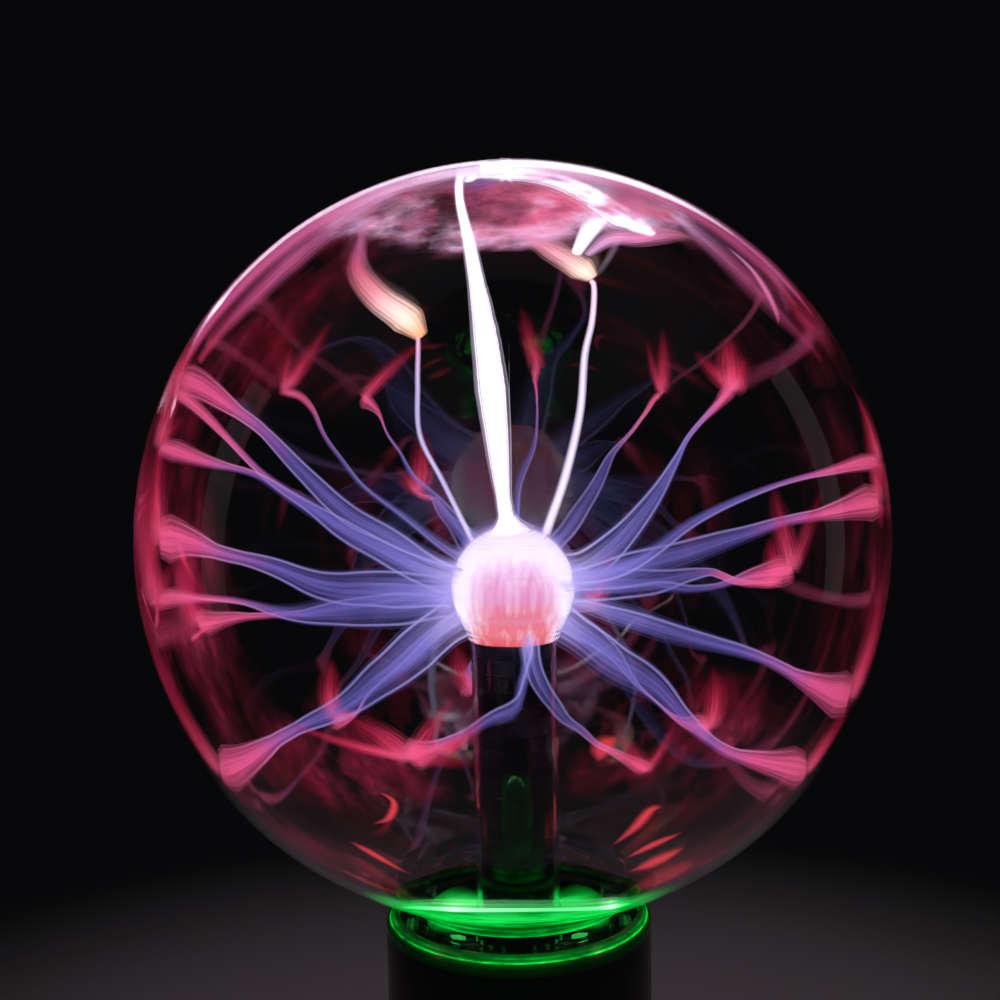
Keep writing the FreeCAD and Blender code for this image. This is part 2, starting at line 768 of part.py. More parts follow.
def driver_chip():
    """The oscillator chip: a moulded body with four legs on each side."""
    x0 = 22.0
    y0 = -27.0
    body = box(x0 - 4.8, x0 + 4.8, y0 - 3.2, y0 + 3.2, BOARD_TOP + 0.6, BOARD_TOP + 3.9)
    body = body.cut(rod(0.8, BOARD_TOP + 3.5, BOARD_TOP + 5, x0 - 4.8, y0))
    for i in range(4):
        x = x0 - 3.81 + i * 2.54
        for side in (-1, 1):
            y1 = y0 + side * 3.7
            y2 = y0 + side * 4.15
            leg = box(x - 0.4, x + 0.4, y1 - 0.6, y1 + 0.6, BOARD_TOP + 1.6, BOARD_TOP + 2.1)
            foot = box(x - 0.25, x + 0.25, y2 - 0.15, y2 + 0.15, BOARD_TOP, BOARD_TOP + 2.1)
            body = body.fuse(leg).fuse(foot)
    return body.removeSplitter()


# ---------------------------------------------------------------- switch and socket

def centred(x0, x1, length, height):
    """A block centred on the switch, between two depths."""
    y0 = SWITCH_Y - length / 2
    z0 = SWITCH_Z - height / 2
    return box(x0, x1, y0, y0 + length, z0, z0 + height)


def switch_housing():
    """The snap-in housing: bezel outside the panel, hollow body behind it."""
    y0 = SWITCH_Y
    z0 = SWITCH_Z
    bezel = centred(PANEL_X - BEZEL_T, PANEL_X, BEZEL_L, BEZEL_H)
    bezel = rounded(bezel, 1.5, V(1, 0, 0))
    front = [e for e in bezel.Edges if e.BoundBox.XMax < PANEL_X - BEZEL_T + 0.01]
    bezel = bezel.makeFillet(0.6, front)
    body = centred(PANEL_X, PANEL_X + BODY_DEPTH, BODY_L, BODY_H)
    housing = bezel.fuse(body).removeSplitter()
    back = PANEL_X - BEZEL_T + WINDOW_DEPTH
    housing = housing.cut(centred(PANEL_X - 5, back, WINDOW_L, WINDOW_H))
    reach = PIVOT_REACH + 0.1
    housing = housing.cut(rod(PIVOT_BORE, z0 - reach, z0 + reach, PIVOT_X, y0))
    for y in (-5.0, 5.0):
        slot = centred(back - 1, PANEL_X + BODY_DEPTH + 1, 0.8, 4.8)
        housing = housing.cut(slot.translated(V(0, y, 0)))
    return housing


def switch_rocker():
    """The rocker with its two pivot stubs, pressed in on its -Y side."""
    z0 = SWITCH_Z
    low = z0 - ROCKER_H / 2
    high = z0 + ROCKER_H / 2
    body = rod(ROCKER_R, low, high, PIVOT_X, SWITCH_Y)
    slope = math.tan(math.radians(ROCKER_TILT))
    face = PIVOT_X - ROCKER_FACE
    outline = [
        V(face, SWITCH_Y, low),
        V(face - 10 * slope, SWITCH_Y + 10, low),
        V(PIVOT_X + ROCKER_BACK, SWITCH_Y + 10, low),
        V(PIVOT_X + ROCKER_BACK, SWITCH_Y - 10, low),
        V(face - 10 * slope, SWITCH_Y - 10, low),
        V(face, SWITCH_Y, low),
    ]
    prism = Part.Face(Part.makePolygon(outline)).extrude(V(0, 0, ROCKER_H))
    body = body.common(prism)
    ridge = [e for e in body.Edges if is_along(e, UP) and e.CenterOfMass.x < PIVOT_X - 2]
    body = body.makeFillet(0.5, ridge)
    pivot = rod(PIVOT_R, z0 - PIVOT_REACH, z0 + PIVOT_REACH, PIVOT_X, SWITCH_Y)
    rocker = body.fuse(pivot).removeSplitter()
    return rocker.rotated(V(PIVOT_X, SWITCH_Y, 0), UP, ROCKER_TILT)


def switch_terminals():
    back = PANEL_X - BEZEL_T + WINDOW_DEPTH
    blades = []
    for y in (-5.0, 5.0):
        blade = centred(back, PANEL_X + BODY_DEPTH + 7, 0.8, 4.8).translated(V(0, y, 0))
        eye = V(PANEL_X + BODY_DEPTH + 4.6, SWITCH_Y + y - 2, SWITCH_Z)
        blades.append(blade.cut(Part.makeCylinder(0.9, 4, eye, V(0, 1, 0))))
    return group(blades)


def jack_body():
    """The power socket: a bushing through the panel on a moulded block."""
    inner_face = PANEL_X + PANEL_WALL
    block = box(inner_face, JACK_BACK + 4, JACK_Y - 4.8, JACK_Y + 4.8, JACK_Z - 5.2, JACK_Z + 5.2)
    block = rounded(block, 0.8, V(1, 0, 0))
    block = block.fuse(rod_x(JACK_R, PANEL_X + 0.2, inner_face, JACK_Y, JACK_Z)).removeSplitter()
    block = block.cut(rod_x(JACK_BORE, PANEL_X - 1, JACK_BACK, JACK_Y, JACK_Z))
    return block.cut(rod_x(JACK_PIN_BASE_R, JACK_BACK - 1, JACK_BACK + 5, JACK_Y, JACK_Z))


def jack_pin():
    """The centre contact: a round-nosed pin on a thicker base, with a solder tab behind."""
    pin = rod_x(JACK_PIN_R, PANEL_X + 1.6, JACK_BACK, JACK_Y, JACK_Z)
    nose = [e for e in pin.Edges if e.BoundBox.XMax < PANEL_X + 1.7]
    pin = pin.makeFillet(0.6, nose)
    pin = pin.fuse(rod_x(JACK_PIN_BASE_R, JACK_BACK - 0.5, JACK_BACK + 4, JACK_Y, JACK_Z))
    tab = box(JACK_BACK + 4, JACK_BACK + 8, JACK_Y - 1.4, JACK_Y + 1.4, JACK_Z - 0.3, JACK_Z + 0.3)
    return pin.fuse(tab).removeSplitter()


def jack_sleeve_tab():
    """The outer contact: a strip along the block that ends in a solder tab."""
    back = JACK_BACK + 4
    strip = box(back, back + 0.5, JACK_Y - 4.2, JACK_Y - 2.2, JACK_Z - 4.0, JACK_Z + 4.0)
    tab = box(back + 0.5, back + 4.5, JACK_Y - 4.2, JACK_Y - 2.2, JACK_Z - 4.0, JACK_Z - 3.4)
    return strip.fuse(tab).removeSplitter()


def power_leads():
    """Switch to board, socket to board, and socket to switch."""
    blade_end = PANEL_X + BODY_DEPTH + 7
    tab_end = JACK_BACK + 8
    far = SWITCH_Y + 5.0
    near = SWITCH_Y - 5.0
    board_x = BOARD_X - BOARD_L / 2 + 4
    switch_to_board = lead([
        (blade_end, far, SWITCH_Z),
        (blade_end + 4.5, far, SWITCH_Z),
        (blade_end + 4.5, far, 22.0),
        (board_x, far, 22.0),
        (board_x, far, BOARD_TOP),
    ], LEAD_R, 2.0)
    socket_to_board = lead([
        (tab_end - 3.5, JACK_Y - 3.2, JACK_Z - 2.6),
        (tab_end + 2.0, JACK_Y - 3.2, JACK_Z - 2.6),
        (tab_end + 2.0, JACK_Y - 3.2, 22.0),
        (board_x, JACK_Y - 3.2, 22.0),
        (board_x, JACK_Y - 3.2, BOARD_TOP),
    ], LEAD_R, 2.0)
    socket_to_switch = lead([
        (tab_end, JACK_Y, JACK_Z),
        (tab_end + 3.2, JACK_Y, JACK_Z),
        (tab_end + 3.2, near - 3.0, JACK_Z),
        (tab_end + 3.2, near, JACK_Z + 3.0),
        (blade_end, near, JACK_Z + 3.0),
    ], LEAD_R, 1.4)
    return group([switch_to_board, socket_to_board, socket_to_switch])


PARTS = {
    "globe_glass": globe_glass,
    "stem_glass": stem_glass,
    "exhaust_tip": exhaust_tip,
    "electrode_coating": electrode_coating,
    "stem_liner": stem_liner,
    "contact_cap": contact_cap,
    "contact_spring": contact_spring,
    "contact_cup": contact_cup,
    "stem_bung": stem_bung,
    "hv_lead": hv_lead,
    "globe_gasket": globe_gasket,
    "neck_seal": neck_seal,
    "light_ring": light_ring,
    "led_board": led_board,
    "leds": leds,
    "led_resistors": led_resistors,
    "led_leads": led_leads,
    "base_shell": base_shell,
    "base_cover": base_cover,
    "feet": feet,
    "cover_screws": cover_screws,
    "main_board": main_board,
    "board_screws": board_screws,
    "ferrite_core": ferrite_core,
    "hv_winding": hv_winding,
    "primary_winding": primary_winding,
    "heatsink": heatsink,
    "power_transistor": power_transistor,
    "transistor_screw": transistor_screw,
    "electrolytic_capacitors": electrolytic_capacitors,
    "film_capacitors": film_capacitors,
    "resistors": resistors,
    "driver_chip": driver_chip,
    "switch_housing": switch_housing,
    "switch_rocker": switch_rocker,
    "switch_terminals": switch_terminals,
    "jack_body": jack_body,
    "jack_pin": jack_pin,
    "jack_sleeve_tab": jack_sleeve_tab,
    "power_leads": power_leads,
}

os.makedirs("parts", exist_ok=True)
for name, make in PARTS.items():
    shape = at_angle(make(), PANEL_TURN)
    shape.exportStep("parts/" + name + ".step")
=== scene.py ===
import math

import bpy
import numpy as np
from mathutils import Matrix, Vector, noise


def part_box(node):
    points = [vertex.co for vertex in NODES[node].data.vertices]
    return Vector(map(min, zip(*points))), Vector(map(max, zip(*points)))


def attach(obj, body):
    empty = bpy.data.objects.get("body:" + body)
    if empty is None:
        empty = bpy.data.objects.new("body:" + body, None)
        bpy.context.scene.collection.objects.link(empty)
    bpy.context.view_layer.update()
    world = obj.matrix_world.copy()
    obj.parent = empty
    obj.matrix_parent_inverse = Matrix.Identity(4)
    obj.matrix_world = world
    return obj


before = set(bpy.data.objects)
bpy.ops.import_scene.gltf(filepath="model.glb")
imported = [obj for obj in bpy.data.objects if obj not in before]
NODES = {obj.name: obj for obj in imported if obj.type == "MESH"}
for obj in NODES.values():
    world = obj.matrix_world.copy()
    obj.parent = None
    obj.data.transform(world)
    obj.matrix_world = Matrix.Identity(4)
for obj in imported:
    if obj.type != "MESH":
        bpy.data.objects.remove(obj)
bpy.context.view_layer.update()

# ---------------------------------------------------------------- measures, in metres

ROOT = "base"
MM = 0.001
UP = Vector((0, 0, 1))

globe_low, globe_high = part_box("globe_glass")
GLOBE_R = (globe_high[0] - globe_low[0]) / 2
GLOBE_C = Vector((0, 0, globe_high[2] - GLOBE_R))
WALL = 0.0018
INNER_R = GLOBE_R - WALL

coat_low, coat_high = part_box("electrode_coating")
COAT_R = (coat_high[0] - coat_low[0]) / 2
BULB_C = Vector((0, 0, coat_high[2] - COAT_R))
BULB_R = COAT_R + 0.0012

RIM_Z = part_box("light_ring")[1][2]
RIM_BEVEL = 0.005      # how far below its top the rim is lit
LED_CIRCLE_R = 0.033

LINER_FOOT_Z = 0.0618
LINER_PITCH = 0.0041

NECK_R = 0.028
FILLET = 0.010         # between the neck and the globe
FILLET_Z = 0.0848      # height of the fillet's centre
FLARE_R = 0.00985      # the light over the fillet, just clear of the glass

# ---------------------------------------------------------------- camera

CAM_DISTANCE = 0.400
CAM_ELEVATION = math.radians(7.5)
CAM_ROLL = math.radians(-1.0)
FOCAL = 1.503                 # focal length over image width
GLOBE_SHIFT = (0.012, 0.036)  # how far right of and below the middle the globe's centre sits
SENSOR = 36.0

scene = bpy.context.scene
camera_data = bpy.data.cameras.new("camera")
camera_data.sensor_fit = "HORIZONTAL"
camera_data.sensor_width = SENSOR
camera_data.lens = SENSOR * FOCAL
camera_data.clip_start = 0.01
camera = bpy.data.objects.new("camera", camera_data)
scene.collection.objects.link(camera)
camera.location = GLOBE_C + CAM_DISTANCE * Vector((0, -math.cos(CAM_ELEVATION), math.sin(CAM_ELEVATION)))
level = Matrix.Rotation(math.pi / 2 - CAM_ELEVATION, 3, "X")
roll = Matrix.Rotation(CAM_ROLL, 3, "Z")
seen = Vector((GLOBE_SHIFT[0], -GLOBE_SHIFT[1], -FOCAL))
aim = seen.rotation_difference(Vector((0, 0, -1))).to_matrix()
camera.rotation_euler = (level @ roll @ aim).to_euler()
scene.camera = camera

# ---------------------------------------------------------------- colour handling and world

scene.view_settings.view_transform = "Standard"
scene.cycles.max_bounces = 16
scene.cycles.transmission_bounces = 14
scene.cycles.glossy_bounces = 6
scene.cycles.transparent_max_bounces = 64

world = bpy.data.worlds.new("studio")
scene.world = world
world.use_nodes = True
world.node_tree.nodes["Background"].inputs["Color"].default_value = (0.55, 0.6, 0.7, 1)
world.node_tree.nodes["Background"].inputs["Strength"].default_value = 0.004


# ---------------------------------------------------------------- node helpers

class Tree:
    """A material under construction."""

    def __init__(self, name):
        self.material = bpy.data.materials.new(name)
        self.material.use_nodes = True
        self.tree = self.material.node_tree
        self.tree.nodes.clear()
        self.out = self.tree.nodes.new("ShaderNodeOutputMaterial")

    def node(self, kind, **values):
        """A new node: values name its inputs, or its own settings where it has no such input."""
        n = self.tree.nodes.new(kind)
        for key, value in values.items():
            name = key.replace("_", " ")
            socket = next((s for s in n.inputs if s.name.lower() == name.lower()), None)
            if socket is None:
                setattr(n, key, value)
            elif isinstance(value, bpy.types.NodeSocket):
                self.tree.links.new(value, socket)
            else:
                socket.default_value = value
        return n

    def link(self, a, b):
        self.tree.links.new(a, b)

    def math(self, operation, a, b=None, clamp=False):
        n = self.tree.nodes.new("ShaderNodeMath")
        n.operation = operation
        n.use_clamp = clamp
        for socket, value in zip(n.inputs, (a, b)):
            if isinstance(value, bpy.types.NodeSocket):
                self.tree.links.new(value, socket)
            elif value is not None:
                socket.default_value = value
        return n.outputs[0]

    def ramp(self, factor, stops):
        """Colours or grey levels at their positions, straight between them."""
        n = self.tree.nodes.new("ShaderNodeValToRGB")
        self.tree.links.new(factor, n.inputs[0])
        elements = n.color_ramp.elements
        while len(elements) < len(stops):
            elements.new(1.0)
        for element, (position, colour) in zip(elements, stops):
            element.position = position
            if isinstance(colour, (int, float)):
                colour = (colour, colour, colour)
            element.color = (*colour, 1)
        return n.outputs[0]

    def heated(self, factor, colour, hot):
        """The colour, turning into the hot colour by the factor."""
        n = self.node("ShaderNodeMix", data_type="RGBA")
        self.link(factor, n.inputs[0])
        self.link(colour, n.inputs[6])
        n.inputs[7].default_value = (*hot, 1)
        return n.outputs[2]

    def mix(self, factor, first, second):
        """The first shader, turning into the second by the factor."""
        n = self.node("ShaderNodeMixShader")
        self.link(factor, n.inputs[0])
        self.link(first.outputs[0], n.inputs[1])
        self.link(second.outputs[0], n.inputs[2])
        return n.outputs[0]

    def between(self, value, low, high, **settings):
        """The value's place between low and high, as 0 to 1."""
        n = self.node("ShaderNodeMapRange", Value=value, **settings)
        n.inputs["From Min"].default_value = low
        n.inputs["From Max"].default_value = high
        return n

    def attribute(self, name):
        n = self.tree.nodes.new("ShaderNodeAttribute")
        n.attribute_name = name
        return n.outputs["Fac"]

    def place(self):
        return self.tree.nodes.new("ShaderNodeTexCoord").outputs["Object"]

    def axes(self, place):
        return self.node("ShaderNodeSeparateXYZ", Vector=place).outputs

    def stretched(self, scale):
        return self.node("ShaderNodeMapping", Vector=self.place(), Scale=scale).outputs[0]

    def noise(self, vector, scale, detail=3.0, roughness=0.55):
        n = self.node("ShaderNodeTexNoise", Vector=vector, Scale=scale, Detail=detail, Roughness=roughness)
        return n.outputs["Fac"]

    def bump(self, height, distance, strength=1.0):
        return self.node("ShaderNodeBump", Height=height, Distance=distance, Strength=strength).outputs[0]

    def surface(self, shader):
        self.link(shader, self.out.inputs["Surface"])
        return self.material


def give(names, material):
    for name in names:
        node = NODES[name]
        node.data.materials.clear()
        node.data.materials.append(material)


# ---------------------------------------------------------------- glass

def glass(name, tint):
    """Clear blown glass with slow waves in it. Shadow rays pass, so light gets through."""
    t = Tree(name)
    wave = t.noise(t.place(), 9.0, 2.0)
    smear = t.noise(t.stretched((30, 30, 12)), 1.0, 4.0)
    shader = t.node("ShaderNodeBsdfPrincipled", IOR=1.47, Transmission_Weight=1.0)
    shader.inputs["Base Color"].default_value = (*tint, 1)
    t.link(t.ramp(smear, [(0.45, 0.0), (0.8, 0.035)]), shader.inputs["Roughness"])
    t.link(t.bump(wave, 0.0004, 0.25), shader.inputs["Normal"])
    clear = t.node("ShaderNodeBsdfTransparent")
    clear.inputs["Color"].default_value = (0.95, 0.96, 0.96, 1)
    path = t.node("ShaderNodeLightPath")
    return t.surface(t.mix(path.outputs["Is Shadow Ray"], shader, clear))


give(["globe_glass"], glass("globe_glass_look", (0.985, 0.99, 0.99)))
give(["stem_glass", "exhaust_tip"], glass("stem_glass_look", (0.95, 0.97, 0.98)))


# ---------------------------------------------------------------- electrode

def electrode_look():
    """The lining, lit by the discharge: white where most streamers leave, pink to salmon elsewhere."""
    t = Tree("electrode_look")
    axes = t.axes(t.place())
    height = t.between(axes["Z"], coat_low[2], coat_high[2]).outputs[0]
    side = t.math("DIVIDE", t.math("ABSOLUTE", axes["X"]), COAT_R)
    streaks = t.noise(t.stretched((420, 420, 34)), 1.0, 3.0, 0.6)
    heat = t.math("MULTIPLY", t.math("POWER", side, 4.0), 2.4)
    heat = t.math("ADD", heat, t.math("MULTIPLY", t.math("POWER", height, 4.0), 2.4))
    heat = t.math("ADD", heat, t.math("MULTIPLY", t.math("SUBTRACT", streaks, 0.52), 1.3), clamp=True)
    pinks = t.ramp(height, [
        (0.0, (1.0, 0.10, 0.12)), (0.1, (1.0, 0.24, 0.30)), (0.32, (0.98, 0.20, 0.27)),
        (0.6, (0.98, 0.19, 0.48)), (0.85, (1.0, 0.30, 0.78)),
    ])
    shader = t.node("ShaderNodeEmission", Strength=1.0)
    t.link(t.heated(heat, pinks, (1.35, 1.2, 1.5)), shader.inputs["Color"])
    return t.surface(shader.outputs[0])


give(["electrode_coating"], electrode_look())


# ---------------------------------------------------------------- stem

def liner_look():
    """Dark wound tape: a satin sheen, its turns' edges painted lighter and bluer as a sheen along the ribs, a
    faint weave.
    """
    t = Tree("liner_look")
    place = t.place()
    rise = t.math("SUBTRACT", t.axes(place)["Z"], LINER_FOOT_Z)
    turns = t.math("FRACT", t.math("MULTIPLY", rise, 1 / LINER_PITCH))
    # The turns' edges are painted lighter and bluer: a painted sheen along the ribs, over a slow random tone.
    edge = t.ramp(turns, [(0.0, 0.9), (0.1, 0.1), (0.88, 0.0), (1.0, 0.9)])
    slow = t.noise(t.stretched((60, 60, 250)), 1.0, 3.0)
    mixed = t.math("ADD", t.math("MULTIPLY", slow, 0.6), t.math("MULTIPLY", edge, 0.4))
    colour = t.ramp(mixed, [
        (0.15, (0.004, 0.005, 0.020)), (0.55, (0.008, 0.010, 0.040)), (0.9, (0.035, 0.04, 0.12)),
    ])
    shader = t.node("ShaderNodeBsdfPrincipled", Specular_IOR_Level=0.12)
    t.link(colour, shader.inputs["Base Color"])
    t.link(t.ramp(slow, [(0.3, 0.35), (0.7, 0.6)]), shader.inputs["Roughness"])
    t.link(t.bump(t.noise(place, 1500.0), 0.00003), shader.inputs["Normal"])
    return t.surface(shader.outputs[0])


give(["stem_liner"], liner_look())


# ---------------------------------------------------------------- base

def moulded(name, dark, light, rough, grain=900.0, metallic=0.0):
    """Plastic, rubber or metal: a fine grain, slow colour change and worn patches."""
    t = Tree(name)
    place = t.place()
    shader = t.node("ShaderNodeBsdfPrincipled", Metallic=metallic)
    colour = t.ramp(t.noise(place, 28.0, 4.0), [(0.3, dark), (0.75, light)])
    roughness = t.ramp(t.noise(place, 60.0, 5.0, 0.7), [(0.3, rough[0]), (0.7, rough[1])])
    t.link(colour, shader.inputs["Base Color"])
    t.link(roughness, shader.inputs["Roughness"])
    t.link(t.bump(t.noise(place, grain, 2.0), 0.00004), shader.inputs["Normal"])
    return t.surface(shader.outputs[0])


METAL = {"metallic": 1.0}

# Each: name, dark and light colour, least and greatest roughness, the nodes that have it,
# and what else sets it apart.
LOOKS = [
    ("shell", (0.012, 0.012, 0.013), (0.020, 0.020, 0.022), (0.16, 0.26), ["base_shell"], {}),
    ("cover", (0.015, 0.015, 0.016), (0.028, 0.028, 0.03), (0.45, 0.6), ["base_cover"], {}),
    ("rubber", (0.018, 0.018, 0.018), (0.035, 0.034, 0.033), (0.6, 0.8),
     ["feet", "stem_bung", "globe_gasket"], {"grain": 500.0}),
    ("nylon", (0.024, 0.024, 0.025), (0.036, 0.036, 0.038), (0.3, 0.42),
     ["switch_housing", "jack_body"], {}),
    ("rocker", (0.065, 0.065, 0.067), (0.085, 0.085, 0.088), (0.12, 0.22), ["switch_rocker"], {}),
    ("silicone", (0.5, 0.52, 0.53), (0.66, 0.68, 0.69), (0.3, 0.45), ["neck_seal"], {}),
    ("board", (0.02, 0.10, 0.035), (0.03, 0.14, 0.05), (0.3, 0.42), ["main_board", "led_board"], {}),
    ("hv_lead", (0.50, 0.47, 0.44), (0.62, 0.6, 0.57), (0.4, 0.5), ["hv_lead"], {}),
    ("led_lead", (0.02, 0.16, 0.04), (0.03, 0.22, 0.06), (0.35, 0.45), ["led_leads"], {}),
    ("power_lead", (0.3, 0.015, 0.015), (0.42, 0.03, 0.025), (0.35, 0.45), ["power_leads"], {}),
    ("ferrite", (0.035, 0.034, 0.036), (0.065, 0.064, 0.066), (0.55, 0.7),
     ["ferrite_core"], {"grain": 1400.0}),
    ("epoxy", (0.012, 0.012, 0.014), (0.024, 0.024, 0.028), (0.35, 0.55),
     ["hv_winding", "driver_chip", "power_transistor", "led_resistors"], {}),
    ("tape", (0.5, 0.33, 0.05), (0.62, 0.43, 0.09), (0.3, 0.45), ["primary_winding"], {}),
    ("can", (0.012, 0.02, 0.09), (0.02, 0.03, 0.13), (0.2, 0.35), ["electrolytic_capacitors"], {}),
    ("film", (0.3, 0.05, 0.025), (0.4, 0.08, 0.04), (0.3, 0.4), ["film_capacitors"], {}),
    ("resistor", (0.5, 0.38, 0.22), (0.6, 0.47, 0.3), (0.35, 0.5), ["resistors"], {}),
    ("zinc", (0.45, 0.45, 0.47), (0.6, 0.6, 0.62), (0.25, 0.45),
     ["cover_screws", "board_screws", "transistor_screw", "contact_spring"], METAL),
    ("heatsink", (0.62, 0.63, 0.65), (0.75, 0.76, 0.78), (0.3, 0.5), ["heatsink"], METAL),
    ("brass", (0.6, 0.46, 0.2), (0.75, 0.6, 0.3), (0.2, 0.4),
     ["contact_cap", "contact_cup", "switch_terminals", "jack_pin", "jack_sleeve_tab"], METAL),
]
for name, dark, light, rough, nodes, more in LOOKS:
    give(nodes, moulded(name + "_look", dark, light, rough, **more))


def led_look():
    t = Tree("led_look")
    glow = t.noise(t.place(), 700.0, 2.0)
    shader = t.node("ShaderNodeBsdfPrincipled", Roughness=0.3)
    shader.inputs["Base Color"].default_value = (0.7, 0.8, 0.6, 1)
    t.link(t.ramp(glow, [(0.3, (0.0, 0.8, 0.05)), (0.7, (0.15, 1.0, 0.3))]), shader.inputs["Emission Color"])
    shader.inputs["Emission Strength"].default_value = 0.5
    return t.surface(shader.outputs[0])


give(["leds"], led_look())


def toward_front(t, least):
    """1 at the front of the base, falling to the least value at its back."""
    share = t.math("DIVIDE", t.axes(t.place())["Y"], -LED_CIRCLE_R)
    lift = t.between(share, -0.5, 0.3, interpolation_type="SMOOTHSTEP")
    lift.inputs["To Min"].default_value = least
    return lift.outputs[0]


def ring_look():
    """The clear rim: two bright lines on its bevel, dim between and below, uneven round the ring."""
    t = Tree("ring_look")
    place = t.place()
    height = t.between(t.axes(place)["Z"], RIM_Z - RIM_BEVEL, RIM_Z).outputs[0]
    lines = t.ramp(height, [
        (0.0, 0.0), (0.3, 0.01), (0.54, 0.02), (0.63, 0.08), (0.68, 0.60), (0.74, 0.26),
        (0.80, 0.16), (0.855, 0.30), (0.90, 0.16), (0.97, 0.10), (1.0, 0.06),
    ])
    patch = t.noise(t.stretched((75, 75, 420)), 1.0, 5.0, 0.7)
    level = t.math("MULTIPLY", lines, t.ramp(patch, [(0.36, 0.25), (0.66, 1.8)]))
    level = t.math("MULTIPLY", level, toward_front(t, 0.08))
    colour = t.ramp(level, [
        (0.0, (0, 0, 0)), (0.25, (0.0, 0.13, 0.01)), (0.7, (0.0, 0.70, 0.03)), (1.0, (0.10, 1.0, 0.22)),
    ])
    shader = t.node("ShaderNodeBsdfPrincipled", Roughness=0.12, Emission_Strength=1.0)
    shader.inputs["Base Color"].default_value = (0.01, 0.05, 0.015, 1)
    t.link(colour, shader.inputs["Emission Color"])
    t.link(t.bump(t.noise(place, 400.0), 0.00005), shader.inputs["Normal"])
    return t.surface(shader.outputs[0])


give(["light_ring"], ring_look())


# ---------------------------------------------------------------- lines and frames

def clamped(x):
    return max(0.0, min(1.0, x))


def direction(azimuth, elevation):
    """A unit vector: azimuth 0 is +X, 90 is +Y (the rear panel), -90 the front."""
    a = math.radians(azimuth)
    e = math.radians(elevation)
    return Vector((math.cos(e) * math.cos(a), math.cos(e) * math.sin(a), math.sin(e)))


def circle(radius, angle, z):
    """A point of a level circle about the object's axis."""
    return Vector((radius * math.cos(angle), radius * math.sin(angle), z))


def catmull(keys, n):
    """A smooth line through the keys, n points long."""
    keys = [Vector(k) for k in keys]
    keys = [keys[0] * 2 - keys[1]] + keys + [keys[-1] * 2 - keys[-2]]
    spans = len(keys) - 3
    out = []
    for i in range(n):
        u = min(spans * i / (n - 1), spans - 1e-6)
        k = int(u)
        u -= k
        a, b, c, d = keys[k:k + 4]
        out.append(0.5 * (2 * b + (c - a) * u + (2 * a - 5 * b + 4 * c - d) * u ** 2
                          + (3 * b - a - 3 * c + d) * u ** 3))
    return out


def hermite(a, b, ta, tb, n):
    """A line from a to b, n points long, that leaves along ta and arrives along tb."""
    out = []
    for i in range(n):
        s = i / (n - 1)
        h00 = 2 * s ** 3 - 3 * s ** 2 + 1
        h10 = s ** 3 - 2 * s ** 2 + s
        h01 = -2 * s ** 3 + 3 * s ** 2
        h11 = s ** 3 - s ** 2
        out.append(a * h00 + ta * h10 + b * h01 + tb * h11)
    return out


def keyed(keys, s):
    """The value at s on a line of (place, value) keys."""
    return float(np.interp(s, [k[0] for k in keys], [k[1] for k in keys]))


def inside(p, margin=0.0003):
    """The point, moved in until it clears the inside of the glass by the margin."""
    away = p - GLOBE_C
    limit = INNER_R - margin
    return GLOBE_C + away.normalized() * limit if away.length > limit else p


def on_glass(azimuth, elevation, depth=0.0008):
    return GLOBE_C + direction(azimuth, elevation) * (INNER_R - depth)


def ahead_at(points, i):
    """The line's direction at its point i."""
    return (points[min(i + 1, len(points) - 1)] - points[max(i - 1, 0)]).normalized()


def frames(points, turn0, turns):
    """Along a line: its direction and a sideways vector that turns slowly about it."""
    out = []
    side = None
    for i in range(len(points)):
        ahead = ahead_at(points, i)
        if side is None:
            side = ahead.cross(UP)
            if side.length < 1e-4:
                side = Vector((1, 0, 0))
            side = Matrix.Rotation(turn0, 3, ahead) @ side.normalized()
        side = (side - ahead * side.dot(ahead)).normalized()
        s = i / (len(points) - 1)
        out.append((ahead, Matrix.Rotation(turns * s, 3, ahead) @ side))
    return out


def flat_sides(points):
    """Sideways vectors that lie in the glass all along a line on it."""
    return [ahead_at(points, i).cross((p - GLOBE_C).normalized()).normalized() for i, p in enumerate(points)]


def arc(stops, depth=0.0018):
    """A line over the inside of the glass through the (azimuth, elevation) stops."""
    line = catmull([on_glass(*stop) for stop in stops], 36)
    return [GLOBE_C + (p - GLOBE_C).normalized() * (INNER_R - depth) for p in line]


# ---------------------------------------------------------------- pieces of light

# Nested tubes, from the outermost: share of the width, and weight of the strength.
LAYERS = ((1.0, 0.16), (0.78, 0.30), (0.54, 0.50), (0.28, 0.85))
EDGE_LAYERS = ((1.0, 0.5), (0.5, 1.0))
GREAT_LAYERS = ((1.3, 0.05), (1.0, 0.25), (0.75, 0.9), (0.5, 1.6))
SOFT_LAYERS = ((1.45, 0.07), (1.2, 0.13), (0.95, 0.22), (0.7, 0.32), (0.45, 0.4), (0.22, 0.45))


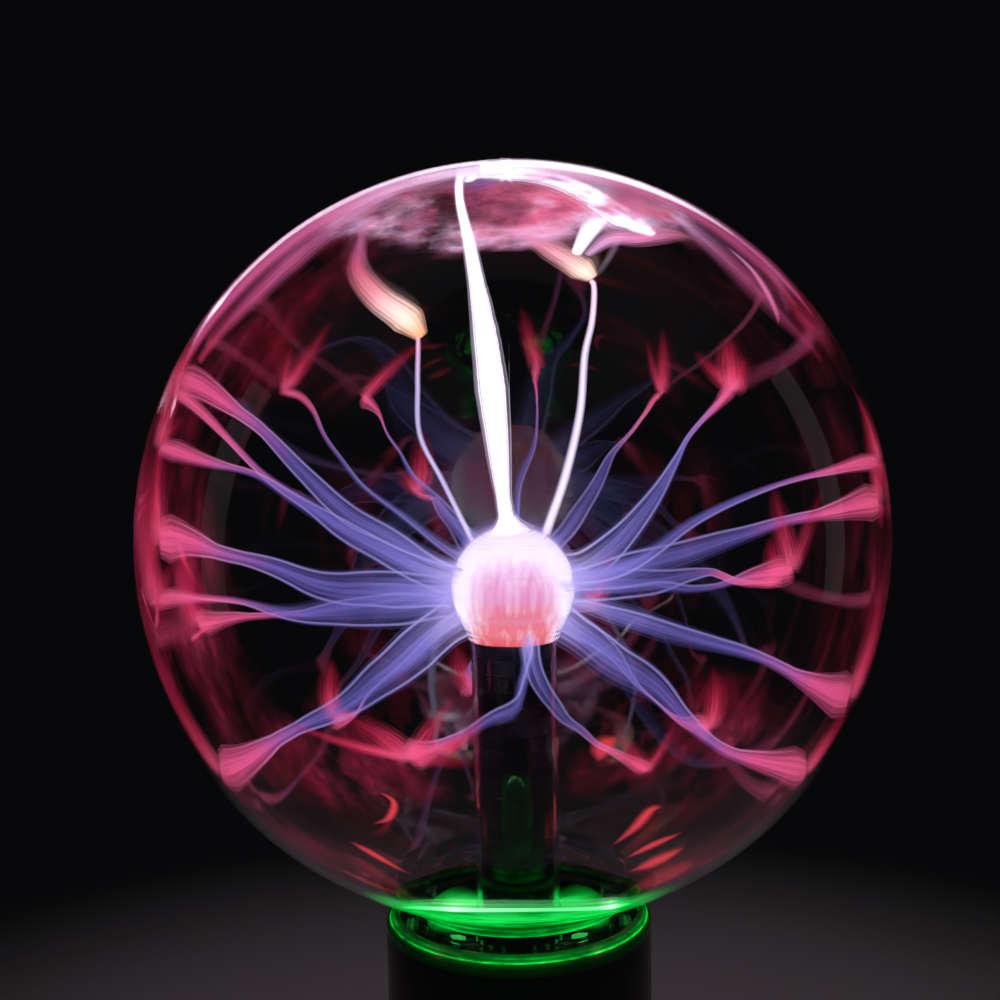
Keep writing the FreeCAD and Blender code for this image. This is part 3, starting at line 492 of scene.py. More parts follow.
class Glow:
    """Collects tubes and sheets of light into one mesh with their values at each point."""

    NAMES = ("along", "across", "depth", "seed", "strength", "heat_and_shade")

    def __init__(self):
        self.verts = []
        self.faces = []
        self.rows = []

    def grid(self, rows, closed=True):
        """Faces between rows of (point, values). A closed grid joins the end of each row to its start."""
        base = len(self.verts)
        n = len(rows[0])
        for row in rows:
            for point, values in row:
                self.verts.append(point)
                self.rows.append(values)
        for i in range(len(rows) - 1):
            near = base + i * n
            far = near + n
            for j in range(n if closed else n - 1):
                k = (j + 1) % n
                self.faces.append((near + j, near + k, far + k, far + j))

    def flame(self, points, width, seed, strength, flat=0.35, turn0=0.0, turns=0.0, start=0.0, stop=1.0,
              heat=0.0, layers=LAYERS, around=12, sides=None, free=False):
        """Nested tubes along a line. width, strength and heat are functions of the place along it,
        or heat is one number. A free flame may lie outside the globe."""
        lay = frames(points, turn0, turns)
        for share, weight in layers:
            rows = []
            for i, p in enumerate(points):
                s = i / (len(points) - 1)
                ahead, side = lay[i]
                if sides:
                    side = sides[i]
                lift = ahead.cross(side)
                w = width(s) * share
                bright = strength(s) * weight
                hot = heat(s) if callable(heat) else heat
                row = []
                for j in range(around):
                    a = 2 * math.pi * j / around
                    x, y = math.cos(a), math.sin(a)
                    q = p + side * (x * w) + lift * (y * w * flat)
                    q = q if free else inside(q)
                    row.append((q, (start + (stop - start) * s, x * share, y * share, seed, bright, hot)))
                rows.append(row)
            self.grid(rows)

    def toe(self, azimuth, elevation, bearing, length, half, seed, strength, bend=25.0):
        """A flame that runs over the inside of the glass, wide at its root and soft at its tip."""
        spot = direction(azimuth, elevation)
        turned = math.radians(bearing)
        points = []
        sides = []
        n = 16
        for i in range(n):
            east = UP.cross(spot).normalized()
            north = spot.cross(east).normalized()
            go = turned + math.radians(bend) * math.sin(seed * 37.0) * (i / n)
            tangent = north * math.cos(go) + east * math.sin(go)
            points.append(GLOBE_C + spot * (INNER_R - 0.0012))
            sides.append(spot.cross(tangent).normalized())
            spot = (spot + tangent * (length / n / INNER_R)).normalized()
        self.flame(points,
                   lambda s: half * (1 - s ** 3) ** 0.6 * (0.95 + 0.15 * math.sin(math.pi * s)) + 0.0001,
                   seed, lambda s: strength * (1 - s) ** 0.8 * min(1.0, 0.3 + 5 * s),
                   flat=0.4, start=1.0, stop=2.0, sides=sides)

    def piece(self, name, material):
        """The mesh as a visible piece that rides on the base."""
        mesh = bpy.data.meshes.new(name)
        mesh.from_pydata([tuple(v) for v in self.verts], [], self.faces)
        table = np.array(self.rows)
        for i, key in enumerate(self.NAMES):
            layer = mesh.attributes.new(key, "FLOAT", "POINT")
            layer.data.foreach_set("value", np.asarray(table[:, i], dtype=np.float32))
        mesh.polygons.foreach_set("use_smooth", [True] * len(mesh.polygons))
        mesh.update()
        piece = bpy.data.objects.new(name, mesh)
        scene.collection.objects.link(piece)
        piece.data.materials.append(material)
        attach(piece, ROOT)


def glow_look(name, colour, opacity):
    """Light with no body: an emission seen over what lies behind it by its opacity."""
    t = Tree(name)
    clear = t.node("ShaderNodeBsdfTransparent")
    shader = t.node("ShaderNodeEmission", Strength=1.0)
    t.link(colour(t), shader.inputs["Color"])
    return t.surface(t.mix(opacity(t), clear, shader))


# ---------------------------------------------------------------- streamers

# Each: where it lands on the glass (azimuth, elevation), where it leaves the bulb (azimuth,
# elevation), half its greatest width in mm, how bright it is, and its toes: (bearing from
# straight up, length in mm) along the glass.
STREAMERS = [
    # left, to the touched spot and below it
    (-171, 27, -168, 22, 4.6, 1.0, [(20, 12), (-150, 14)]),
    (-174, 25, 176, 8, 4.0, 0.9, [(35, 16)]),
    (-152, 17, -160, 14, 3.6, 0.8, [(-10, 20), (50, 12)]),
    (176, 0, 178, -2, 6.0, 1.0, [(15, 22), (-70, 12), (100, 12)]),
    (-149, -4, -168, -6, 5.2, 0.9, [(-25, 24), (60, 14)]),
    (166, -16, 170, -10, 4.0, 0.7, [(10, 18), (-60, 10)]),
    (-158, -34, -166, -24, 5.6, 1.0, [(-12, 26), (35, 12)]),
    (140, 23, 150, 26, 3.0, 0.6, [(-30, 22), (15, 14)]),
    (121, 21, 132, 34, 2.6, 0.6, [(-40, 24)]),
    # right
    (41, 22, 22, 10, 5.0, 1.0, [(-12, 16), (48, 14), (-48, 12)]),
    (-12, 12, -8, 12, 3.6, 1.0, [(8, 16), (170, 7)]),
    (-5, 5, -4, 6, 4.4, 1.0, [(4, 20), (180, 6)]),
    (32, -13, 14, -2, 4.2, 0.9, [(28, 12)]),
    (-16, -24, -10, -12, 6.0, 1.0, [(14, 28), (-30, 12)]),
    (-25, -35, -18, -34, 5.2, 1.0, [(32, 18), (52, 14)]),
    (58, 21, 48, 32, 2.4, 0.6, [(-16, 20), (12, 16)]),
    (-52, 1, -40, 8, 3.0, 0.6, [(-20, 16), (30, 18)]),
    # front
    (-104, -21, -75, -46, 3.2, 0.9, [(-45, 14), (35, 16), (85, 12)]),
    (-72, -24, -66, -48, 2.0, 0.6, [(-40, 12), (30, 12)]),
    # back
    (73, -20, 70, -10, 4.0, 0.6, [(-20, 16), (40, 12)]),
    (100, -38, 100, -26, 4.0, 0.6, [(25, 14)]),
    (108, 2, 110, 6, 4.0, 0.5, [(-8, 18), (50, 10)]),
    (84, 26, 88, 30, 2.8, 0.5, [(10, 20)]),
    (138, -40, 136, -28, 4.0, 0.7, [(-16, 18)]),
    (36, -42, 40, -30, 4.0, 0.7, [(16, 18)]),
]
RIBBON_WIDTH = [(0, 0.95), (0.06, 0.85), (0.18, 0.92), (0.32, 0.76), (0.5, 0.42), (0.64, 0.25), (0.74, 0.28),
                (0.86, 0.58), (0.95, 0.88), (1.0, 0.70)]
RIBBON_STRENGTH = [(0, 0.40), (0.1, 0.24), (0.3, 0.20), (0.55, 0.28), (0.72, 0.44), (0.86, 0.48), (1.0, 0.62)]
SPREAD = 0.00135       # metres of ribbon for each mm of listed half width
TOE_STRETCH = 0.0013   # metres of toe for each mm of listed length


DRIFT_OFFSETS = [Vector((9.3, -1.5, -8.0)), Vector((0.0, 0.0, 0.0)), Vector((6.3, 0.2, -2.7))]


def drift(place):
    """A smooth wandering vector that depends on the place alone, so every run gives the same one."""
    return Vector([noise.noise(place + offset) for offset in DRIFT_OFFSETS])


def streamer_line(seed, azimuth, elevation, out_az, out_el):
    """The middle line of a streamer, from the bulb's surface to the inside of the glass."""
    leave = direction(out_az, out_el)
    start = BULB_C + leave * (BULB_R - 0.0005)
    land = direction(azimuth, elevation)
    end = GLOBE_C + land * (INNER_R - 0.0018)
    span = (end - start).length
    level = Vector((land.x, land.y, 0)).normalized()
    arrive = (level * 0.7 + land * 0.5 + UP * 0.15).normalized()
    points = hermite(start, end, leave * span * 0.95, arrive * span * 0.55, 60)
    moved = []
    for i, p in enumerate(points):
        s = i / (len(points) - 1)
        wander = drift(Vector((seed * 7.3, s * 1.9, 0.0))) * 0.0075
        wander += drift(Vector((seed * 5.1, s * 5.0, 4.0))) * 0.0014
        moved.append(inside(p + wander * math.sin(math.pi * s), 0.001))
    return moved


def streamer_colour(t):
    """Lavender at the bulb, violet, hot pink at the glass, crimson at the toes; white where hot."""
    seed = t.math("FRACT", t.math("MULTIPLY", t.attribute("seed"), 3.7))
    shift = t.math("MULTIPLY", t.math("SUBTRACT", seed, 0.5), 0.16)
    place = t.math("MULTIPLY", t.math("ADD", t.attribute("along"), shift), 0.5)
    colour = t.ramp(place, [
        (0.0, (0.55, 0.45, 1.0)), (0.06, (0.30, 0.26, 0.86)), (0.16, (0.19, 0.16, 0.62)),
        (0.27, (0.20, 0.14, 0.58)), (0.34, (0.50, 0.13, 0.50)), (0.40, (0.98, 0.12, 0.36)),
        (0.52, (1.08, 0.13, 0.30)), (0.62, (0.92, 0.06, 0.16)), (0.80, (0.55, 0.02, 0.07)),
        (1.0, (0.30, 0.005, 0.03)),
    ])
    return t.heated(t.attribute("heat_and_shade"), colour, (2.2, 1.9, 2.5))


def streamer_opacity(t):
    """Streaks that follow the flow, over the strength set at each point."""
    depth = t.math("MULTIPLY", t.attribute("depth"), 2.0)
    flow = t.node("ShaderNodeCombineXYZ",
                  X=t.math("MULTIPLY", t.attribute("along"), 1.6),
                  Y=t.math("MULTIPLY", t.attribute("across"), 2.6),
                  Z=t.math("ADD", depth, t.math("MULTIPLY", t.attribute("seed"), 17.0)))
    streak = t.noise(flow.outputs[0], 1.7, 3.0, 0.62)
    level = t.ramp(streak, [(0.30, 0.12), (0.46, 0.55), (0.66, 2.0)])
    return t.math("MULTIPLY", t.attribute("strength"), level, clamp=True)


ribbons = Glow()
edges = Glow()
toes = Glow()
for index, (az, el, out_az, out_el, half, bright, feet) in enumerate(STREAMERS):
    seed = 0.137 + index * 0.619
    middle = streamer_line(seed, az, el, out_az, out_el)
    turn = (index * 1.9) % 3.1
    turns = 2.2 - (index % 4) * 1.1
    wide = lambda s: half * SPREAD * keyed(RIBBON_WIDTH, s)
    ribbons.flame(middle, wide, seed, lambda s: bright * keyed(RIBBON_STRENGTH, s), flat=0.42,
                  turn0=turn, turns=turns)
    lay = frames(middle, turn, turns)
    for way in ((-1, 1), (1,), (-1,))[index % 3]:
        edge = [inside(p + lay[i][1] * (way * 0.8 * wide(i / (len(middle) - 1))), 0.002)
                for i, p in enumerate(middle)]
        edges.flame(edge, lambda s: 0.00050 * (1.0 - 0.4 * s), seed + way * 0.3,
                    lambda s: bright * min(0.30, 1.2 * (1 - s)), flat=1.0, layers=EDGE_LAYERS, around=6, heat=0.08)
    for k, (bearing, length) in enumerate(feet):
        toes.toe(az, el, bearing, length * TOE_STRETCH, half * 0.001 * (1.1 if k == 0 else 0.75), seed + k * 0.21,
                 bright * (0.42 if k == 0 else 0.30))

# The great streamer: from the top of the bulb to the crown of the glass, then along it.
GREAT_LINE = [
    (-0.0008, 0, 0.1895), (-0.0022, 0, 0.1990), (-0.0038, 0, 0.2180), (-0.0062, 0, 0.2420),
    (-0.0096, 0, 0.2640), (-0.0122, 0.001, 0.2775), (-0.0108, 0.003, 0.2846), (-0.003, 0.007, 0.2858),
    (0.0125, 0.011, 0.2846), (0.0270, 0.0240, 0.2782), (0.0380, 0.0305, 0.2716),
]
GREAT_WIDTH = [(0, 9.0), (0.02, 5.5), (0.05, 3.2), (0.10, 3.0), (0.18, 4.9), (0.24, 6.0), (0.30, 5.0),
               (0.36, 3.2), (0.44, 2.1), (0.5, 1.7), (0.6, 2.1), (0.68, 2.6), (0.85, 3.8), (0.95, 4.6),
               (1.0, 1.8)]
ribbons.flame([inside(p, 0.001) for p in catmull(GREAT_LINE, 110)], lambda s: MM * keyed(GREAT_WIDTH, s), 0.31,
              lambda s: 1.0, flat=0.6, heat=1.0, layers=GREAT_LAYERS)

# Long thin toes: the crimson net over the left of the glass, and single arms elsewhere.
# Each: where it starts (azimuth, elevation), bearing, length and half width in mm, bend in degrees.
THREADS = [
    (-166, 5, -72, 34, 0.9, 60), (-166, 8, -95, 30, 1.4, -35), (172, 1, -110, 30, 0.8, 70),
    (-165, -5, -125, 34, 0.7, -60), (167, -2, -160, 22, 1.3, 40), (170, -18, -85, 30, 0.8, -40),
    (-150, -8, 40, 22, 0.9, 60), (176, 4, 25, 26, 1.6, 30), (-104, -21, -82, 34, 1.4, 20),
    (-100, -20, 60, 16, 2.0, -30), (-16, -24, 5, 30, 1.3, 20), (-12, 12, 20, 26, 1.0, -20),
]
for k, (az, el, bearing, length, half, bend) in enumerate(THREADS):
    toes.toe(az, el, bearing, length * MM, half * MM, 0.11 + 0.37 * k, 0.42, bend=bend)

streamer_glow = glow_look("streamer_glow", streamer_colour, streamer_opacity)
ribbons.piece("streamers", streamer_glow)
edges.piece("streamer_edges", streamer_glow)
toes.piece("streamer_toes", streamer_glow)

# Two thin white streamers, one on each side of the great one, each ending in a hot foot.
RIGHT_THIN = [(0.0090, 0.006, 0.1875), (0.0150, 0.018, 0.2020), (0.0200, 0.032, 0.2190), (0.0222, 0.044, 0.2350),
              (0.0250, 0.054, 0.2450), (0.0262, 0.0605, 0.2540), (0.0258, 0.0625, 0.2590)]
LEFT_THIN = [(-0.0105, 0.004, 0.1860), (-0.0190, 0.020, 0.2010), (-0.0262, 0.038, 0.2130),
             (-0.0276, 0.055, 0.2270), (-0.0280, 0.068, 0.2380), (-0.0284, 0.0755, 0.2420)]
thin = Glow()
for line, width, seed, strength, heat in [
        (RIGHT_THIN, lambda s: 0.0015 - 0.0006 * s, 0.52, 0.7, 0.5),
        (LEFT_THIN, lambda s: 0.0009, 0.87, 0.5, 0.3)]:
    thin.flame([inside(p, 0.002) for p in catmull(line, 70)], width, seed, lambda s: strength, flat=0.8, heat=heat)
thin.piece("thin_streamers", glow_look("thin_glow", streamer_colour, streamer_opacity))


# ---------------------------------------------------------------- hot feet and bands over the glass

def hot_colour(t):
    """Hot feet run orange-white, salmon, pink; the bands over the glass run magenta to crimson."""
    colour = t.ramp(t.math("MULTIPLY", t.attribute("along"), 0.5), [
        (0.0, (1.3, 0.50, 0.24)), (0.08, (1.5, 0.85, 0.55)), (0.2, (1.1, 0.32, 0.36)),
        (0.35, (0.85, 0.14, 0.30)), (0.49, (0.6, 0.16, 0.45)),
        (0.51, (1.2, 0.55, 1.1)), (0.65, (1.1, 0.24, 0.62)), (0.85, (0.9, 0.10, 0.32)),
        (0.93, (0.85, 0.05, 0.14)), (1.0, (0.95, 0.07, 0.05)),
    ])
    return t.heated(t.attribute("heat_and_shade"), colour, (3.6, 3.1, 3.8))


def hump(s, middle, spread):
    """1 at the middle, falling off on both sides."""
    return math.exp(-((s - middle) / spread) ** 2)


hot = Glow()


def hot_foot(stops, widths, strength, heat, seed, depth=0.0018, flat=0.35, start=0.0, stop=1.0):
    """A foot on the glass. Its widths, in mm, are keyed along it."""
    points = arc(stops, depth=depth)
    hot.flame(points, lambda s: MM * keyed(widths, s), seed, strength, flat=flat, heat=heat,
              sides=flat_sides(points), start=start, stop=stop)


def hot_band(stops, widths, strength, heat, seed, **more):
    """A band over the glass, in the second half of the hot colours."""
    hot_foot(stops, widths, strength, heat, seed, start=1.0, stop=1.86, **more)


# feet of the two thin streamers, the right one with a white link to the crown band
hot_foot([(67, 47), (70, 50), (76, 54.5), (83, 59), (95, 63)], [(0, 2.6), (0.2, 5.4), (0.5, 5.0), (1, 1.2)],
         lambda s: 1.0 * (1 - s) ** 1.2 + 0.04, lambda s: 0.15 * (1 - s), 0.4)
hot_band([(69, 53.5), (61, 59.4), (52, 63.5), (46, 66)], [(0, 1.6), (0.4, 3.0), (1, 2.6)],
         lambda s: 0.75, lambda s: 0.8, 1.4)
hot_foot([(110, 34), (114.8, 38.2), (122, 42), (129, 46), (135, 50), (141, 56), (152, 64)],
         [(0, 2.4), (0.14, 5.6), (0.4, 4.6), (0.7, 3.4), (1, 1.8)],
         lambda s: 1.0 * (1 - s) ** 0.9 + 0.05, lambda s: 0.13 * hump(s, 0.25, 0.16), 2.4)
# the touched spot: two hot points on the left limb and the glow between them
hot_band([(-168, 43), (-168, 38), (-171, 34), (-176, 28), (179, 23), (178, 20)],
         [(0, 1.0), (0.12, 2.0), (0.3, 1.5), (0.7, 1.2), (0.86, 1.3), (1, 0.4)],
         lambda s: 0.85, lambda s: 0.12 + 0.7 * hump(s, 0.12, 0.1) + 0.2 * hump(s, 0.86, 0.08), 8.4, depth=0.0010)
# bands over the crown and down both sides
hot_band([(126, 79.7), (139, 85.4), (56, 87.4), (39, 79), (41, 69.5), (41, 62), (38, 57)],
         [(0, 1.6), (0.2, 2.4), (0.5, 3.2), (0.75, 4.2), (0.9, 4.6), (1, 2.0)],
         lambda s: 0.95, lambda s: 0.95 - 0.2 * s, 3.1, depth=0.0012)
hot_band([(-128, 84.6), (-72, 83), (-41, 79.5), (-27, 74.4), (-20, 68.5), (-16.7, 63.6), (-15, 59), (-12, 53)],
         [(0, 2.4), (0.2, 3.4), (0.5, 3.2), (0.8, 2.2), (1, 0.8)],
         lambda s: 1.0 - 0.3 * s, lambda s: max(0.1, 1.0 - 0.7 * s ** 3), 3.6, depth=0.0010)
hot_band([(180, 86), (0, 84), (-2, 72), (-2, 60), (0, 46), (2, 38)],
         [(0, 6.0), (0.5, 6.0), (0.8, 4.0), (1, 1.5)],
         lambda s: 0.55 * (1 - s) + 0.10, lambda s: max(0.0, 0.7 - 1.7 * s), 4.3, depth=0.0010)
hot_band([(-15, 60), (-11, 50), (-9, 41), (-8, 36)], [(0, 1.0), (0.5, 2.6), (1, 0.5)],
         lambda s: 0.5 * (1 - 0.6 * s), 0.0, 4.7, depth=0.0010)
hot_band([(7, 52), (8, 46), (14, 38), (17, 35)], [(0, 0.8), (0.5, 2.0), (1, 0.5)],
         lambda s: 0.4 * math.sin(math.pi * s), 0.03, 4.9)
hot_band([(-110, 82), (-135, 77.5), (-158, 66), (-162, 56), (-167, 47.6), (-168, 40)],
         [(0, 1.6), (0.5, 2.4), (1, 1.4)], lambda s: 0.9, lambda s: 0.75 - 0.35 * s, 5.3, depth=0.0008)
hot_band([(0, 88), (-178, 76), (-177, 62), (-176, 47), (-173, 33), (-171, 26)],
         [(0, 6.0), (0.4, 7.0), (0.8, 4.5), (1, 2.0)],
         lambda s: 0.5, lambda s: max(0.0, 0.4 - 0.9 * s), 5.7, depth=0.0012)
hot_band([(172, 72), (166, 58), (168, 44), (176, 30)], [(0, 6.0), (0.5, 9.0), (1, 3.0)],
         lambda s: 0.20, 0.0, 6.1)
hot_band([(-150, 74), (-155, 60), (-158, 46)], [(0, 6.0), (0.5, 9.0), (1, 2.0)],
         lambda s: 0.20 * (1 - s) + 0.02, 0.0, 7.1)
hot_band([(12, 62), (16, 50), (14, 38), (6, 28)], [(0, 5.0), (0.5, 8.0), (1, 2.0)],
         lambda s: 0.11 * (1 - s) + 0.03, 0.0, 9.3)
# pink glow under the end of the crown band
hot_band([(66, 53), (55, 57), (45, 57), (36, 57.5), (26, 57), (18, 54)],
         [(0, 1.5), (0.3, 4.5), (0.6, 5.0), (0.85, 3.5), (1, 0.8)],
         lambda s: 0.42 * math.sin(math.pi * min(1.0, s + 0.1)) ** 0.7 + 0.03, 0.05, 10.3, flat=0.2)

# Red strokes low in the globe. Each: half width in mm, and its stops on the glass.
LOW_STROKES = [
    (1.9, [(29, -71.4), (31, -65.8), (33, -61.3), (30, -59.6)]),
    (1.5, [(9, -71.7), (10, -66.6), (7, -61.2)]),
    (2.6, [(-12, -71.6), (-9, -66.6), (-7, -61.7)]),
    (1.5, [(177, -61.1), (179, -65.8), (-171, -72)]),
    (1.1, [(156, -61.9), (146, -62.3), (138, -59.5), (140, -56.2)]),
    (3.2, [(64, -53.3), (64, -49.9), (61, -47.5)]),
]
for k, (half, stops) in enumerate(LOW_STROKES):
    points = arc(stops)
    hot.flame(points, lambda s: MM * half * math.sin(math.pi * (0.06 + 0.88 * s)), 12.1 + k,
              lambda s: 0.62 * math.sin(math.pi * s) ** 1.3 + 0.02, flat=0.3, sides=flat_sides(points),
              start=1.88, stop=2.0, layers=SOFT_LAYERS)
hot.piece("hot_feet", glow_look("hot_glow", hot_colour, streamer_opacity))


# ---------------------------------------------------------------- veils on the glass

# Each: azimuths and elevations of its edges, greatest strength, seed.
VEILS = [
    ((150, 215), (-40, 35), 0.40, 0.3), ((128, 170), (20, 64), 0.26, 1.1), ((-35, 28), (-30, 22), 0.11, 2.3),
    ((-12, 34), (22, 58), 0.20, 3.7), ((60, 130), (-45, 10), 0.12, 4.9), ((10, 80), (-62, -30), 0.30, 5.3),
    ((110, 175), (-62, -34), 0.30, 6.1), ((-150, -112), (-62, -36), 0.16, 7.7),
    ((-68, -25), (-62, -36), 0.20, 8.3),
]
VEIL_ROWS = 14
VEIL_COLUMNS = 22


def veil(sheet, azimuths, elevations, strength, seed):
    """A faint patch of glow on the inside of the glass, strongest in its middle."""
    rows = []
    for i in range(VEIL_ROWS):
        u = i / (VEIL_ROWS - 1)
        row = []
        for j in range(VEIL_COLUMNS):
            v = j / (VEIL_COLUMNS - 1)
            fade = math.sin(math.pi * u) * math.sin(math.pi * v)
            azimuth = azimuths[0] + (azimuths[1] - azimuths[0]) * v
            elevation = elevations[0] + (elevations[1] - elevations[0]) * u
            row.append((on_glass(azimuth, elevation, 0.0003), (u, v, 0.0, seed, strength * fade, 0.0)))
        rows.append(row)
    sheet.grid(rows, closed=False)


def veil_colour(t):
    return t.ramp(t.noise(t.place(), 30.0, 3.0), [
        (0.35, (0.30, 0.01, 0.03)), (0.5, (0.55, 0.02, 0.09)), (0.7, (0.75, 0.07, 0.20)),
    ])


def veil_opacity(t):
    """Torn upright wisps."""
    wisps = t.ramp(t.noise(t.stretched((52, 52, 22)), 1.0, 4.0, 0.6), [(0.42, 0.0), (0.55, 0.6), (0.70, 2.2)])
    return t.math("MULTIPLY", t.attribute("strength"), wisps, clamp=True)


veils = Glow()
for azimuths, elevations, strength, seed in VEILS:
    veil(veils, azimuths, elevations, strength, seed)
veils.piece("crimson_veils", glow_look("veil_glow", veil_colour, veil_opacity))


# ---------------------------------------------------------------- cloud under the crown

CLOUD_ROWS = 22
CLOUD_COLUMNS = 72
CLOUD_REACH = 42       # degrees from the top of the globe


def cloud_point(layer, polar, azimuth):
    """A point of the cloud and its values. Its edge is uneven, wider at the back, and thin on
    the near side, where it would hide the great streamer's bend."""
    spot = Vector((math.sin(polar) * math.cos(azimuth), math.sin(polar) * math.sin(azimuth), math.cos(polar)))
    wander = noise.noise(spot * 3.0 + Vector((layer * 3.0, 1.7, 5.1))) * 9.0 + 6.0 * math.sin(azimuth)
    edge = 29.0 + wander
    fade = clamped((edge - math.degrees(polar)) / 5.0)
    fade *= 0.12 + 0.88 * clamped(0.5 + 1.1 * math.sin(azimuth) * math.sin(polar) / 0.3)
    lip = hump(math.degrees(polar), edge - 3, 2.0)
    return (GLOBE_C + spot * (INNER_R - 0.0006 - 0.0016 * layer),
            (math.degrees(polar) / CLOUD_REACH, lip, 0.0, layer * 0.9 + 0.3,
             fade * 0.30 + lip * 0.30 * fade, 0.55 * lip))


def cloud_colour(t):
    patch = t.noise(t.place(), 42.0, 4.0, 0.6)
    colour = t.ramp(patch, [
        (0.34, (0.26, 0.14, 0.55)), (0.44, (0.62, 0.12, 0.32)), (0.56, (1.0, 0.18, 0.34)),
        (0.68, (1.1, 0.55, 0.85)),
    ])
    return t.heated(t.attribute("heat_and_shade"), colour, (1.2, 0.9, 1.4))


def cloud_opacity(t):
    wisps = t.ramp(t.noise(t.stretched((34, 34, 70)), 1.0, 5.0, 0.65), [(0.40, 0.05), (0.5, 0.8), (0.62, 2.8)])
    return t.math("MULTIPLY", t.attribute("strength"), wisps, clamp=True)


cloud = Glow()
for layer in range(3):
    cloud.grid([[cloud_point(layer, math.radians(2 + (CLOUD_REACH - 2) * i / (CLOUD_ROWS - 1)),
                             2 * math.pi * j / CLOUD_COLUMNS) for j in range(CLOUD_COLUMNS)]
                for i in range(CLOUD_ROWS)])
cloud.piece("crown_cloud", glow_look("cloud_glow", cloud_colour, cloud_opacity))


# ---------------------------------------------------------------- glow round the electrode

HALO_SHELLS = 7
HALO_ROWS = 40
HALO_COLUMNS = 64


def halo():
    """Thin layers of light round the bulb, fainter outwards and downwards."""
    sheet = Glow()
    for k in range(HALO_SHELLS):
        out = k / (HALO_SHELLS - 1)
        radius = BULB_R + (0.0003 + 0.0032 * out ** 1.4)
        rows = []
        for i in range(HALO_ROWS):
            a = math.pi / 2 - math.radians(115) * i / (HALO_ROWS - 1)
            r, z = radius * math.cos(a), BULB_C.z + radius * math.sin(a)
            rise = (z - BULB_C.z) / radius
            strength = (0.085 * (1 - out) ** 1.4 + 0.009) * (0.35 + 0.65 * max(0.0, rise + 0.6))
            rows.append([(circle(r, 2 * math.pi * j / HALO_COLUMNS, z), (out, rise, 0.0, k * 0.7, strength, 0.0))
                         for j in range(HALO_COLUMNS)])
        sheet.grid(rows)
    return sheet


def halo_colour(t):
    return t.ramp(t.attribute("along"), [
        (0.0, (1.0, 0.75, 1.0)), (0.35, (0.62, 0.45, 1.0)), (1.0, (0.28, 0.16, 0.9)),
    ])


halo().piece("electrode_halo", glow_look("electrode_glow", halo_colour, streamer_opacity))


# ---------------------------------------------------------------- green light in the neck

DISC_R = (0.0118, 0.0245)
DISC_Z = RIM_Z - 0.0022
NECK_WAYS = [2 * math.pi * j / 120 for j in range(120)]
FLARE_ROWS = 20
FOOT_ROWS = 12
FRONT_OF_FLARE = (3.0, 1.0)   # how fast the light fades sideways, and where it starts to
FRONT_OF_FOOT = (7.0, 5.4)


def neck_disc():
    """A level disc of light behind and beside the stem."""
    rows = []
    for i in range(12):
        out = i / 11
        r = DISC_R[0] + (DISC_R[1] - DISC_R[0]) * out
        row = []
        for a in NECK_WAYS:
            lean = math.sin(a)
            fade = clamped(1.9 - 2.6 * lean) * clamped(1.1 + 2.0 * lean)
            row.append((circle(r, a, DISC_Z),
                        (0.68 + 0.3 * (1 - out), out, lean, 0.3, (0.97 - 0.6 * out ** 2) * fade, 0.0)))
        rows.append(row)
    return rows


def front_row(r, z, up, strength, front, shade):
    """One ring of the light over the neck's front, at its place up the neck. Shade 1 makes it dark."""
    slope, start = front
    return [(circle(r, a, z), (up, up, math.sin(a), 0.9, strength * clamped(-slope * math.sin(a) - start), shade))
            for a in NECK_WAYS]


def foot_point(radius, degrees):
    """Radius and height of a point on the globe's foot, so many degrees above its middle."""
    turn = math.radians(degrees)
    return radius * math.cos(turn), GLOBE_C.z + radius * math.sin(turn)


def neck_front():
    """Light over the front of the flare and then of the globe's foot."""
    profile = []
    for i in range(FLARE_ROWS):
        turn = math.radians(25 + 43 * i / (FLARE_ROWS - 1))
        profile.append((NECK_R + FILLET - FLARE_R * math.cos(turn), FILLET_Z + FLARE_R * math.sin(turn)))
    for i in range(1, FOOT_ROWS + 1):
        profile.append(foot_point(GLOBE_R + 0.0002, -69.5 + 18.5 * i / FOOT_ROWS))
    rows = []
    for i, (r, z) in enumerate(profile):
        up = i / (len(profile) - 1)
        strength = 0.25 if i == 0 else 0.85 * min(1.0, 4.5 * (1 - up)) ** 0.7
        rows.append(front_row(r, z, up, strength, FRONT_OF_FLARE if i < FLARE_ROWS else FRONT_OF_FOOT, 0.0))
    return rows


def foot_painted_shade():
    """A painted shade inside the globe's foot: a dark sheet that keeps the foot's light out of the stem's
    reflections.
    """
    rows = []
    for i in range(FOOT_ROWS):
        up = i / (FOOT_ROWS - 1)
        r, z = foot_point(INNER_R - 0.0004, -69 + 17.5 * up)
        rows.append(front_row(r, z, up, 0.9 * min(1.0, 4.5 * (1 - up), 0.3 + 6 * up), FRONT_OF_FOOT, 1.0))
    return rows


def neck_colour(t):
    """Bright at the flare's top and foot, darker bands between, running round the neck; black in the shade."""
    bands = t.ramp(t.attribute("along"), [
        (0.0, 0.75), (0.06, 0.50), (0.14, 0.26), (0.22, 0.45), (0.30, 0.22), (0.55, 0.20), (0.64, 0.30),
        (0.74, 0.55), (0.85, 0.75), (1.0, 0.95),
    ])
    patch = t.noise(t.stretched((70, 70, 420)), 1.0, 4.0, 0.65)
    level = t.math("MULTIPLY", bands, t.ramp(patch, [(0.34, 0.45), (0.66, 1.55)]))
    # In the neck's pieces the last value is a painted shade: where it is 1 the light turns black.
    level = t.math("MULTIPLY", level, t.math("SUBTRACT", 1.0, t.attribute("heat_and_shade")))
    return t.ramp(level, [
        (0.0, (0.0, 0.0, 0.0)), (0.05, (0.0, 0.02, 0.0)), (0.3, (0.0, 0.16, 0.01)), (0.7, (0.0, 0.72, 0.05)),
        (1.0, (0.02, 1.0, 0.14)),
    ])


def neck_opacity(t):
    return t.math("MINIMUM", t.attribute("strength"), 1.0)


